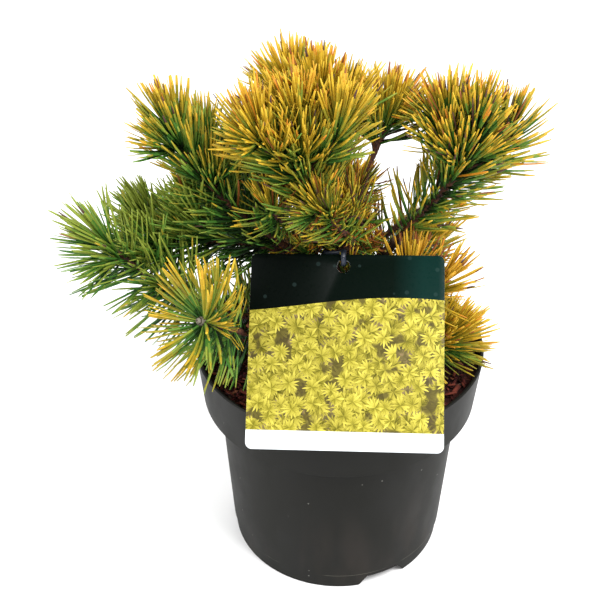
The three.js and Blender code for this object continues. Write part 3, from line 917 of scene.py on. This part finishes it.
def buildBark():
    wood = Gather()
    wood.add(*limbParts(trunkPath, trunkRadius, bark["trunkSides"]), [0, 0])
    for item in crown:
        if item["bough"]:
            wood.add(*limbParts(item["bough"], boughRadius(item), bark["boughSides"]), [0, 0])
    piece = wood.piece("trunk_and_boughs", [barkFinish()])
    applyModifier(piece, "REMESH", mode="VOXEL", voxel_size=bark["voxel"] * mm)
    for name, kind, size, rise in (
        ("scales", "VORONOI", bark["scaleSize"], -bark["scaleRise"]),
        ("grain", "CLOUDS", bark["grainSize"], bark["grainRise"]),
    ):
        texture = bpy.data.textures.new(name, kind)
        texture.noise_scale = size
        applyModifier(
            piece, "DISPLACE", texture=texture, texture_coords="LOCAL", strength=rise * mm,
            mid_level=bark["middle"],
        )
    editAll(piece)
    cut = (0, 0, (soilLevel + clearance) * mm)
    bpy.ops.mesh.bisect(plane_co=cut, plane_no=(0, 0, 1), clear_inner=True, use_fill=True)
    bpy.ops.object.mode_set(mode="OBJECT")
    piece.data.shade_smooth()
    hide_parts("trunk", *["bough_" + item["name"] for item in crown if item["bough"]])
    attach(piece, "root")
    print("bark made:", len(piece.data.polygons), "faces")


buildBark()


# card: a printed plastic card with a hole, bare of words

cardLook = {
    "cornerSteps": 7,
    "edgeRound": 0.12, "sharp": 60, "smooth": 30,
    "holeSides": 48, "holeDepth": 8,
    "strip": 11.2,          # bare pale strip along the foot
    "header": 31,           # dark band along the top, at its middle
    "headerWave": 5,
    # round sprigs in the picture, from the lowest layer up: cell size and number of leaves
    "sprigs": ((15, 15), (12, 14), (14.5, 16), (11.5, 15), (13.5, 14), (11, 15)),
    "leafReach": (0.36, 0.26),    # of a cell, the shortest and what chance may add
    "leafWidth": 0.052, "vein": 0.2, "bareCells": 0.12,
    "drops": 0.13, "dropSize": 0.17, "dropFrom": 0.62,
}


def sprigLayer(flat, size, leaves, layer):
    # a sprig of pointed leaves in each cell of a random pattern: where a leaf is, how pale it is
    moved = flat.stretched((1, 1, 1), (37.0 * layer, 61.0 * layer, 0))
    cells = {"voronoi_dimensions": "2D"}
    sockets = {"Vector": moved, "Scale": 1 / size, "Randomness": 0.8}
    lot = moved.node("TexVoronoi", cells, sockets, out="Color").axis("X")
    centre = moved.node("TexVoronoi", cells, sockets, out="Position")
    away = moved.node("VectorMath", {"operation": "SUBTRACT"}, {0: moved, 1: centre})
    x = away.axis("X") / size
    y = away.axis("Y") / size
    reach = x.maths("SQRT", x * x + y * y)
    around = (x.maths("ARCTAN2", y, x) + lot * 2 * math.pi) * (leaves / (2 * math.pi))
    number = around.whole()
    leafLot = number.joined(lot * 50, 0.7 * layer).chance()
    least, more = cardLook["leafReach"]
    share = reach / (least + more * leafLot)
    aside = (around - number - 0.5).size() * (2 * math.pi / leaves) * reach
    width = (share * math.pi).sine() * cardLook["leafWidth"]
    leaf = (aside < width) * (share < 1) * (lot > cardLook["bareCells"])
    tone = leafLot * 0.6 + share * 0.4 - (aside < width * cardLook["vein"]) * 0.2
    return leaf, tone


def cardFinish():
    finish, shader, place = startFinish("printedCard", {"Specular IOR Level": 0.03})
    local = place.node("Mapping", {"vector_type": "TEXTURE"}, {
        "Vector": place, "Location": cardPlace.translation * mm, "Rotation": cardPlace.to_euler(),
        "Scale": (mm, mm, mm),
    })
    across = local.axis("X")
    up = local.axis("Z")
    picture = local.noise(0.22, 5, 0.7).ramp(
        (0.35, tint(60, 58, 34)), (0.5, tint(98, 88, 52)), (0.66, tint(132, 112, 80))
    )
    flat = across.joined(up, 0.0)
    for layer, (size, leaves) in enumerate(cardLook["sprigs"]):
        leaf, tone = sprigLayer(flat, size, leaves, layer + 1)
        pale = layer / len(cardLook["sprigs"])
        colours = tone.ramp(
            (0.1, tint(60 + 50 * pale, 58 + 46 * pale, 20 + 10 * pale)),
            (0.42, tint(112 + 50 * pale, 104 + 48 * pale, 36 + 18 * pale)),
            (0.85, tint(170 + 40 * pale, 158 + 40 * pale, 62 + 26 * pale)),
        )
        if layer == len(cardLook["sprigs"]) - 1:
            hollow = local.noise(0.07, 2).between(0.55, 0.62, 0, 0.85)
            picture = hollow.mix(picture, tint(70, 62, 36))
        picture = leaf.mix(picture, colours)
    edge = card["height"] / 2 - cardLook["header"]
    wave = (across * (math.pi / card["width"]) + 0.7).sine() * cardLook["headerWave"]
    # the header's dark green print, with a painted reflection that lightens it to teal towards the
    # right edge
    headerPrintAndReflection = (across * 0.011 + 0.5).ramp(
        (0.1, tint(1, 7, 4)), (0.8, tint(3, 14, 9)), (1, tint(9, 36, 32))
    )
    chosen = local.cells(cardLook["drops"], out="Color").axis("X") > cardLook["dropFrom"]
    drop = (local.cells(cardLook["drops"]) < cardLook["dropSize"]) * chosen
    headerPrintAndReflection = (drop * 0.12).mix(headerPrintAndReflection, tint(70, 92, 90))
    printed = (up > wave + edge).mix(picture, headerPrintAndReflection)
    printed = (up < cardLook["strip"] - card["height"] / 2).mix(printed, tint(218, 223, 227))
    front = local.axis("Y") < card["thickness"] * -0.4
    colour = front.mix(tint(214, 217, 217), printed)
    feed(shader, colour=colour, roughness=local.noise(0.5, 2).between(0.3, 0.7, 0.26, 0.4))
    return finish


def buildCard():
    deselectAll()
    bpy.ops.mesh.primitive_plane_add(
        size=1, location=(0, card["thickness"] / 2 * mm, 0), rotation=(math.pi / 2, 0, 0),
    )
    piece = bpy.context.object
    piece.name = "printed_card"
    piece.scale = (card["width"] * mm, card["height"] * mm, 1)
    bpy.ops.object.transform_apply(location=True, rotation=True, scale=True)
    editAll(piece)
    bpy.ops.mesh.bevel(
        offset=card["corner"] * mm, segments=cardLook["cornerSteps"], affect="VERTICES"
    )
    bpy.ops.mesh.select_all(action="SELECT")
    bpy.ops.mesh.extrude_region_move(
        TRANSFORM_OT_translate={"value": (0, -card["thickness"] * mm, 0)}
    )
    leaveShell()
    hole = (card["holeShift"] * mm, 0, (card["height"] / 2 - card["holeDrop"]) * mm)
    deselectAll()
    bpy.ops.mesh.primitive_cylinder_add(
        vertices=cardLook["holeSides"], radius=card["holeRadius"] * mm,
        depth=cardLook["holeDepth"] * mm, location=hole, rotation=(math.pi / 2, 0, 0),
    )
    cutWith(piece, bpy.context.object)
    applyModifier(
        piece, "BEVEL", width=cardLook["edgeRound"] * mm, segments=2, limit_method="ANGLE",
        angle_limit=math.radians(cardLook["sharp"]),
    )
    piece.data.transform(Matrix.Scale(mm, 4) @ cardPlace @ Matrix.Scale(1 / mm, 4))
    smoothByAngle(piece, cardLook["smooth"])
    piece.data.materials.append(cardFinish())
    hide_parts("card")
    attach(piece, "root")


buildCard()
print("card made")


# tie: a dark ribbed plastic strap through the hole and round the trunk

strap = {"sides": 14, "steps": 150, "wide": 1.7, "flat": 1.1, "ribs": 60, "ribDepth": 0.05}


def tieFinish():
    finish, shader, place = startFinish("tiePlastic", {"Specular IOR Level": 0.45})
    cloud = place.noise(300, 2)
    colour = cloud.ramp((0.3, tint(22, 27, 38)), (0.7, tint(34, 42, 58)))
    feed(shader, colour=colour, roughness=cloud.between(0.3, 0.7, 0.3, 0.45))
    return finish


def buildTie():
    made = Gather()
    shares = np.linspace(0, 1, strap["steps"])
    angles = np.linspace(0, 2 * np.pi, strap["sides"], endpoint=False)
    oval = strap["wide"] * strap["flat"] / np.hypot(
        strap["flat"] * np.cos(angles), strap["wide"] * np.sin(angles)
    )
    ribs = 1 + strap["ribDepth"] * np.cos(2 * np.pi * strap["ribs"] * shares)
    made.add(*tubeParts(tiePath, shares, ribs[:, None] * oval), [0, 0])
    piece = made.piece("tie_strap", [tieFinish()])
    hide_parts("tie")
    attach(piece, "root")


buildTie()
print("tie made")


# room for needles

room = {
    "rim": 95, "rimTop": 158, "inside": 4.2, "outside": 1.2, "overSoil": 1.5, "overRim": 0.8,
    "trunkBones": 16, "tieBones": 24, "boughBones": 6,
}


def bonesOf(path, radiusAt, count):
    shares = np.linspace(0, 1, count + 1)
    ends = path.at(shares)
    middles = (shares[1:] + shares[:-1]) / 2
    return ends[:-1], ends[1:], radiusAt(middles)


def allBones():
    bones = [
        bonesOf(trunkPath, trunkRadius, room["trunkBones"]),
        bonesOf(tiePath, lambda share: np.full(share.shape, tie["radius"]), room["tieBones"]),
    ]
    for item in crown:
        if item["bough"]:
            bones.append(bonesOf(item["bough"], boughRadius(item), room["boughBones"]))
    return stacked(bones)


boneStarts, boneEnds, boneRadii = allBones()


def gapToLimbs(points):
    gap = np.full(points.shape[:-1], 1e9)
    for start, end, radius in zip(boneStarts, boneEnds, boneRadii):
        line = end - start
        share = np.clip((points - start) @ line / (line @ line), 0, 1)
        off = points - start - share[..., None] * line
        gap = np.minimum(gap, np.linalg.norm(off, axis=-1) - radius)
    return gap


def isOpen(points):
    # free of the pot's rim, the soil, the card and all that lies in front of it
    reach = np.hypot(points[..., 0], points[..., 1])
    height = points[..., 2]
    onRim = (reach > room["rim"] - room["inside"]) & (reach < room["rim"] + room["outside"])
    blocked = onRim & (height < room["rimTop"] + room["overRim"])
    blocked |= (reach < room["rim"]) & (height < soilLevel + room["overSoil"])
    local = points @ cardInverse[:3, :3].T + cardInverse[:3, 3]
    inFront = (
        (np.abs(local[..., 0]) < card["width"] / 2 + card["margin"])
        & (np.abs(local[..., 2]) < card["height"] / 2 + card["margin"])
        & (local[..., 1] < card["margin"])
    )
    return ~(blocked | inFront)


# needles

needle = {
    "length": 37,
    "pairLengths": (0.82, 0.26),    # the shortest share of it, and what chance may add
    "ownLengths": (0.96, 0.08),     # the same between the two of a pair
    "halfWidth": 0.82,
    "ownWidths": (0.85, 0.25),
    "slender": (0.6, 1),     # of a short needle's width, and of a long one's
    "spacing": 0.7,          # of pairs along a shoot
    "mostBare": 0.6,         # of a shoot's length
    "jitter": 13,
    "spiralJitter": 0.5,
    "crestDepth": 5,
    "crestScale": 0.94,
    "pairSplit": 0.05,
    "pairGap": 0.3,
    "rootLift": 0.5,         # of the lift, that the needle's root has already
    "bend": 0.3,             # towards the shoot's tip
    "stray": 0.15,
    "lengths": (0.45, 0.6, 0.8, 1),
    "limbGap": 0.9,
    "tested": np.array([0.2, 0.4, 0.6, 0.8, 1]),    # where along it room is looked for
}

needleRings = np.array([0, 0.06, 0.24, 0.44, 0.64, 0.84, 1])
needleWidths = np.array([0.72, 0.8, 0.96, 1, 1, 0.92, 0.44])
needleSection = np.array([(1, -0.4), (0.6, 0.45), (-0.6, 0.45), (-1, -0.4)])

# from the green of shaded needles to the browns of winter-burnt tips
needleTones = [
    ("pine", (14, 30, 8)),
    ("forest", (30, 62, 18)),
    ("leaf", (60, 104, 36)),
    ("moss", (96, 128, 46)),
    ("lime", (128, 142, 52)),
    ("olive", (142, 134, 38)),
    ("brass", (162, 140, 36)),
    ("gold", (184, 150, 36)),
    ("sun", (202, 168, 48)),
    ("honey", (200, 152, 44)),
    ("amber", (194, 126, 34)),
    ("rust", (134, 78, 36)),
    ("umber", (74, 50, 42)),
    # the sheath's brown, painted darker as shade where needles meet the twig
    ("sheath", (44, 30, 24)),
]
toneNames = [name for name, colour in needleTones]
needleFinishes = tonedFinishes("needle_", needleTones, 0.45, 0.2)

# tones at a needle's root, middle and end, at the foot of a shoot and at its head; the shares of
# needles with a burnt end and of dead ones; and the last tone that a live one takes
needleHues = {
    "green": ((0.6, 1.8, 3.0), (0.8, 2.6, 3.8), 0.04, 0.01, "lime"),
    "tipped": ((0.0, 0.6, 1.6), (0.2, 1.6, 6.0), 0.15, 0.02, "honey"),
    "lime": ((0.4, 1.8, 4.0), (1.0, 3.8, 6.2), 0.05, 0, "honey"),
    # gold ends, with the needles' roots near a shoot's head painted dark as shade between the tufts
    "dusk": ((0.6, 3.4, 5.2), (-1.6, 0.6, 6.8), 0.26, 0.06, "honey"),
    "gold": ((0.2, 2.0, 4.0), (0.8, 4.8, 7.2), 0.13, 0.03, "honey"),
    "amber": ((2.0, 5.4, 7.6), (3.0, 7.4, 9.0), 0.3, 0.06, "honey"),
    "olive": ((0.4, 3.2, 4.6), (0.8, 3.8, 5.2), 0.3, 0.2, "honey"),
    "old": ((0.4, 3.0, 4.6), (0.6, 3.6, 5.0), 0.4, 0.36, "honey"),
}

toning = {
    "sun": 1.0,              # tones gained by a needle that points straight up
    "drift": 0.5,            # by which neighbours go along with each other
    "own": 0.6, "ownMost": 1.8, "blur": 0.3,
    "waves": np.array([(0.31, 0.12, 0.2), (-0.17, 0.29, 0.23), (0.11, -0.26, 0.34)]),
    "headward": 0.8,         # power by which a shoot's tones go from its foot to its head
    "middle": 0.48, "endLength": 0.4,
    "burntBy": 2, "burntLast": "rust",
    "scorched": 0.2,         # of the burnt ones
    "dead": [toneNames.index(name) for name in ("amber", "rust", "rust", "umber")],
}

showsBud = {"front_left"}

goldenAngle = math.pi * (3 - math.sqrt(5))


def needleBones(path, at, share, spread, scale, lift, draw):
    # roots, first and last directions and lengths of needles in pairs, at these shares of a shoot
    count = len(at)
    axis = path.along(at)
    side, across = crossways(axis)
    around = np.arange(count) * goldenAngle + needle["spiralJitter"] * draw.random_sample(count)
    opening = np.radians(spread + needle["jitter"] * (2 * draw.random_sample(count) - 1))[:, None]
    outward = side * np.cos(around)[:, None] + across * np.sin(around)[:, None]
    rootLift = (0, 0, needle["rootLift"] * lift)
    first = unit(axis * np.cos(opening) + outward * np.sin(opening) + rootLift)
    roll = draw.random_sample(count)[:, None] * 2 * np.pi
    flat = unit(np.cross(first, axis))
    apart = flat * np.cos(roll) + np.cross(first, flat) * np.sin(roll)
    least, more = needle["pairLengths"]
    length = needle["length"] * scale * (least + more * draw.random_sample(count))
    least, more = needle["ownLengths"]
    bones = []
    for turn in (-1, 1):
        start = unit(first + turn * needle["pairSplit"] * apart)
        stray = needle["stray"] * (2 * draw.random_sample((count, 3)) - 1)
        end = unit(start + needle["bend"] * axis + (0, 0, lift) + stray)
        own = length * (least + more * draw.random_sample(count))
        root = path.at(at) + needle["pairGap"] * turn * apart
        bones.append((root, start, end, own, turn * apart, share))
    return bones


def shootBones(path, habit, draw):
    # needles all along a shoot, and a crest of others round its bud
    low = min(habit["bare"] / path.length, needle["mostBare"])
    count = max(4, round((1 - low) * path.length / (needle["spacing"] * habit["thin"])))
    share = ((np.arange(count) + 0.5) / count) ** habit["gather"]
    wide, narrow = habit["open"]
    spread = wide + (narrow - wide) * share**2
    scale = habit["scale"]
    bones = needleBones(path, low + (1 - low) * share, share, spread, scale, habit["lift"], draw)
    count = habit["crest"]
    share = (np.arange(count) + 0.5) / count
    at = 1 - needle["crestDepth"] / path.length * (1 - share)
    behind, before = habit["crestOpen"]
    spread = behind + (before - behind) * share
    scale = scale * needle["crestScale"]
    bones += needleBones(path, at, np.ones(count), spread, scale, habit["lift"], draw)
    return stacked(bones)


def alongNeedle(root, start, end, length, shares):
    s = shares[None, :, None]
    run = start[:, None] * s + (end - start)[:, None] * s**2 / 2
    return root[:, None] + length[:, None, None] * run


def fitted(root, start, end, length):
    # the longest of the lengths that each needle has room for, or nought
    best = np.zeros(len(length))
    for part in needle["lengths"]:
        points = alongNeedle(root, start, end, length * part, needle["tested"])
        free = isOpen(points) & (gapToLimbs(points) > needle["limbGap"])
        best = np.where(free.all(axis=1), length * part, best)
    return best


def needleParts(bones, hue, draw):
    # the needles that have room, as four-sided spikes with a flat inner side
    root, start, end, length, apart, share = bones
    length = fitted(root, start, end, length)
    kept = length > 0
    bones = (root, start, end, length, apart, share)
    root, start, end, length, apart, share = (values[kept] for values in bones)
    count = len(root)
    centre = alongNeedle(root, start, end, length, needleRings)
    s = needleRings[None, :, None]
    axis = unit(start[:, None] + (end - start)[:, None] * s)
    outer = unit(apart[:, None] - axis * (apart[:, None] * axis).sum(-1, keepdims=True))
    flat = np.cross(outer, axis)
    slender = np.clip(length / needle["length"], *needle["slender"])[:, None]
    least, more = needle["ownWidths"]
    own = least + more * draw.random_sample((count, 1))
    width = needle["halfWidth"] * slender * own * needleWidths
    ring = (
        needleSection[:, 0, None] * flat[:, :, None] + needleSection[:, 1, None] * outer[:, :, None]
    )
    points = centre[:, :, None] + width[..., None, None] * ring
    rings = len(needleRings)
    caps = np.array([[3, 2, 1, 0], (rings - 1) * 4 + np.arange(4)])
    spike = np.concatenate([tubeQuads(rings, 4), caps])
    faces = spike[None] + np.arange(count)[:, None, None] * rings * 4
    tone = dealtTones(hue, share, start[:, 2], centre[:, 3], draw)
    dealt = np.concatenate([np.repeat(tone, 4, axis=1), tone[:, :1], tone[:, -1:]], axis=1)
    return points.reshape(-1, 3), [faces.reshape(-1, 4)], [dealt.ravel()]


def dealtTones(hue, share, upward, spot, draw):
    # one tone for each band of each needle: greener at its root, paler or burnt at its end
    count = len(share)
    foot, head, burntShare, deadShare, last = needleHues[hue]
    headward = share[:, None] ** toning["headward"]
    root, middle, end = (a + (b - a) * headward for a, b in zip(foot, head))
    s = (needleRings[1:] + needleRings[:-1])[None, :] / 2
    rise = np.clip(s / toning["middle"], 0, 1)
    finish = np.clip((s - toning["middle"]) / toning["endLength"], 0, 1)
    tone = root + (middle - root) * rise + (end - middle) * finish
    drift = np.sin(spot @ toning["waves"].T).sum(axis=1)
    own = draw.normal(0, 1, count).clip(-toning["ownMost"], toning["ownMost"])
    moved = toning["sun"] * upward + toning["drift"] * drift + toning["own"] * own
    tone = tone + moved[:, None]
    tone = np.round(tone + toning["blur"] * (draw.random_sample((count, 1)) - 0.5))
    tone = np.clip(tone, 0, toneNames.index(last))
    # the root band is the sheath, painted darker as shade where the needle meets the twig
    tone[:, 0] = toneNames.index("sheath")
    burnt = draw.random_sample(count) < burntShare
    darker = np.clip(tone[:, -1] + toning["burntBy"], 0, toneNames.index(toning["burntLast"]))
    tone[:, -1] = np.where(burnt, darker, tone[:, -1])
    scorched = draw.random_sample(count) < toning["scorched"] * burntShare
    tone[:, -1] = np.where(scorched, toneNames.index("umber"), tone[:, -1])
    dead = draw.random_sample(count) < deadShare
    tone[dead] = draw.choice(toning["dead"], (dead.sum(), 1))
    return tone


# wood of the twigs, and buds

woodTones = [
    ("young", (104, 66, 42)),
    ("brown", (78, 48, 36)),
    ("purple", (54, 34, 34)),
    ("bud", (122, 114, 102)),
    ("budScale", (48, 36, 28)),
]
woodNames = [name for name, colour in woodTones]
woodFinishes = tonedFinishes("wood_", woodTones, 0.7, 0.25)

# spirals of pegs: how many go round the twig and how steeply each winds
woodLook = {
    "step": 0.9, "sides": 9, "pegs": ((3, 1.3), (5, 0.9)), "pegRise": 0.13, "mottled": 0.3,
}
budLook = {
    "plain": (6.5, 1.7),     # length and radius
    "shown": (8.5, 2.6),
    "sunk": 1.5,             # of its foot, in the shoot's end
    "rows": 18, "sides": 10, "scaleRows": 4,
    "spirals": 3, "twist": 22, "scaleRise": 0.16, "point": 0.04,
}


def woodParts(path, thick, thin, draw):
    # a twig with the pegs that old needles leave, on crossing spirals
    rows = max(8, int(path.length / woodLook["step"]))
    shares = np.linspace(0, 1, rows)
    angles = np.linspace(0, 2 * np.pi, woodLook["sides"], endpoint=False)
    along = shares[:, None] * path.length
    (few, steep), (many, flat) = woodLook["pegs"]
    pegs = np.cos(few * angles + along * steep) * np.cos(many * angles[None] - along * flat)
    radii = (thick + (thin - thick) * shares[:, None]) * (1 + woodLook["pegRise"] * pegs)
    points, faces = tubeParts(path, shares, radii)
    plain = tone = woodNames.index("brown")
    for name in ("young", "purple"):
        patch = draw.random_sample(len(faces[0])) < woodLook["mottled"]
        tone = np.where(patch, woodNames.index(name), tone)
    return points, faces, [tone, plain]


def budParts(path, length, radius):
    # a pointed bud with overlapping scales on the end of a shoot
    axis = path.along(1.0)
    foot = path.at(1.0) - budLook["sunk"] * axis
    line = Path(np.linspace(foot, foot + length * axis, 9))
    sides = budLook["sides"]
    shares = np.linspace(0, 1, budLook["rows"])
    swell = np.sin(np.pi * (0.12 + 0.88 * shares)) ** 0.75
    angles = budLook["spirals"] * np.linspace(0, 2 * np.pi, sides, endpoint=False)
    twist = shares[:, None] * budLook["twist"]
    scales = np.cos(angles + twist) * np.cos(angles - twist)
    girth = np.maximum(swell, budLook["point"])[:, None]
    points, faces = tubeParts(line, shares, radius * girth * (1 + budLook["scaleRise"] * scales))
    plain = woodNames.index("bud")
    row = np.arange(len(faces[0])) // sides
    tone = np.where(row % budLook["scaleRows"] == 0, woodNames.index("budScale"), plain)
    return points, faces, [tone, plain]


# short side shoots, a finer step of the same branching
spur = {
    "count": 3, "from": 0.5, "to": 0.86, "length": (9, 17), "open": 36, "lift": 0.15, "bend": 0.4,
    "radius": 1.15, "swell": 0.25,
    "leastShoot": 40,        # length of the shortest shoot that bears any
    "leastGap": 4,           # from its end to a limb
    "leaf": 0.86,
    "thin": 0.8,
    "habit": {"open": (46, 26), "bare": 4, "crest": 11},
}


def growSpurs(path, draw):
    spurs = []
    for k in range(spur["count"]):
        at = spur["from"] + (spur["to"] - spur["from"]) * (k + draw.random_sample()) / spur["count"]
        axis = path.along(at)
        side, across = crossways(axis)
        turn = k * goldenAngle + draw.random_sample()
        opening = math.radians(spur["open"])
        outward = side * math.cos(turn) + across * math.sin(turn)
        aim = axis * math.cos(opening) + outward * math.sin(opening)
        length = draw.uniform(*spur["length"])
        root = path.at(at)
        end = root + length * unit(aim + (0, 0, spur["lift"]))
        if gapToLimbs(end[None])[0] > spur["leastGap"] and isOpen(end[None])[0]:
            spurs.append(bent(root, root + spur["bend"] * length * axis, end))
    return spurs


def buildMass(index, item):
    draw = np.random.RandomState(seedFor("mass", index))
    leaves = Gather()
    wood = Gather()
    habit = item["habit"]
    shows = item["name"] in showsBud
    short = {**habit, **spur["habit"]}
    short["scale"] = habit["scale"] * spur["leaf"]
    short["thin"] = habit["thin"] * spur["thin"]
    for k, path in enumerate(item["twigs"]):
        thick = twig["rootRadius"] if k == 0 else twig["tipRadius"] + twig["sideSwell"]
        wood.add(*woodParts(path, thick, twig["tipRadius"], draw))
        wood.add(*budParts(path, *budLook["shown" if shows else "plain"]))
        wide, narrow = habit["open"]
        opening = (wide, narrow) if k == 0 else (max(narrow, wide * sideOpen), narrow)
        bones = shootBones(path, {**habit, "open": opening}, draw)
        leaves.add(*needleParts(bones, item["hue"], draw))
        if path.length > spur["leastShoot"] and not shows:
            for side in growSpurs(path, draw):
                wood.add(*woodParts(side, spur["radius"] + spur["swell"], spur["radius"], draw))
                leaves.add(*needleParts(shootBones(side, short, draw), item["hue"], draw))
    foliage = leaves.piece("foliage_" + item["name"], needleFinishes)
    stems = wood.piece("twigs_" + item["name"], woodFinishes)
    for piece in (foliage, stems):
        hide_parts("needles_" + item["name"])
        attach(piece, "root")
    slots = {"tipped": "green", "dusk": "gold", "amber": "gold"}
    "needles_" + slots.get(item["hue"], item["hue"])
    return len(foliage.data.polygons) * 2


leafTriangles = sum(buildMass(index, item) for index, item in enumerate(crown))
print("masses grown:", leafTriangles, "triangles")


# old needles on the boughs and the trunk, and short shoots that fill the heart of the crown

heart = {
    "leaf": 0.62,            # scale of the old needles on the trunk
    "open": (62, 88),
    "boughFrom": 0.35, "boughSpacing": 1.1, "boughBark": 4.3,
    "trunkFrom": 186, "trunkSpacing": 1.0, "trunkBark": 7.2,
    "shoots": 14, "shootHeights": (198, 258), "shootLength": (12, 21), "turnJitter": 20,
    "out": 0.72, "up": 0.7, "bend": 0.4,    # of a shoot's length
    "radii": (1.5, 1.1),
    "habit": {"open": (66, 34), "scale": 0.62, "bare": 4, "thin": 1.1, "crest": 13},
}


def oldBones(path, low, spacing, scale, draw):
    count = round((1 - low) * path.length / spacing)
    share = (np.arange(count) + 0.5) / count
    spread = draw.uniform(*heart["open"], count)
    at = low + (1 - low) * share
    return stacked(needleBones(path, at, share, spread, scale, plainHabit["lift"], draw))


def offBark(bones, radius):
    # needles root on the bark, not in the limb's core
    root, start, end, length, apart, share = bones
    return [root + start * radius, start, end, length, apart, share]


def buildHeart():
    draw = np.random.RandomState(seedFor("heart"))
    leaves = Gather()
    wood = Gather()
    along = (heart["boughFrom"], heart["boughSpacing"])
    runs = [
        (item["bough"], *along, item["habit"]["boughLeaf"], heart["boughBark"])
        for item in crown if item["bough"]
    ]
    along = (float(trunkShare(heart["trunkFrom"])), heart["trunkSpacing"])
    runs.append((trunkPath, *along, heart["leaf"], heart["trunkBark"]))
    for path, low, spacing, scale, radius in runs:
        bones = offBark(oldBones(path, low, spacing, scale, draw), radius)
        leaves.add(*needleParts(bones, "old", draw))
    for k in range(heart["shoots"]):
        low, high = heart["shootHeights"]
        share = float(trunkShare(low + (high - low) * (k + draw.random_sample()) / heart["shoots"]))
        turn = math.degrees(k * goldenAngle) + heart["turnJitter"] * draw.random_sample()
        length = draw.uniform(*heart["shootLength"])
        radius = float(trunkRadius(share))
        root = trunkPath.at(share)
        foot = root + place(turn, radius, 1)
        head = root + place(turn, radius + length * heart["out"], length * heart["up"])
        path = bent(foot, foot + place(turn, length * heart["bend"], 0), head)
        if isOpen(path.at(np.array([0.5, 1.0]))).all():
            wood.add(*woodParts(path, *heart["radii"], draw))
            bones = shootBones(path, {**plainHabit, **heart["habit"]}, draw)
            leaves.add(*needleParts(bones, "old" if k % 2 else "olive", draw))
    foliage = leaves.piece("foliage_heart", needleFinishes)
    stems = wood.piece("twigs_heart", woodFinishes)
    for piece in (foliage, stems):
        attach(piece, "root")
    print("heart filled:", len(foliage.data.polygons) * 2, "triangles")


buildHeart()


# stage

ground = {"side": 12, "white": (0.92, 0.92, 0.92, 1)}

bpy.ops.mesh.primitive_plane_add(size=ground["side"], location=(0, 0, 0))
floor = bpy.context.object
floor.name = "floor"
floor.data.materials.append(plainFinish("floorWhite", ground["white"], 0.9, 0.1))
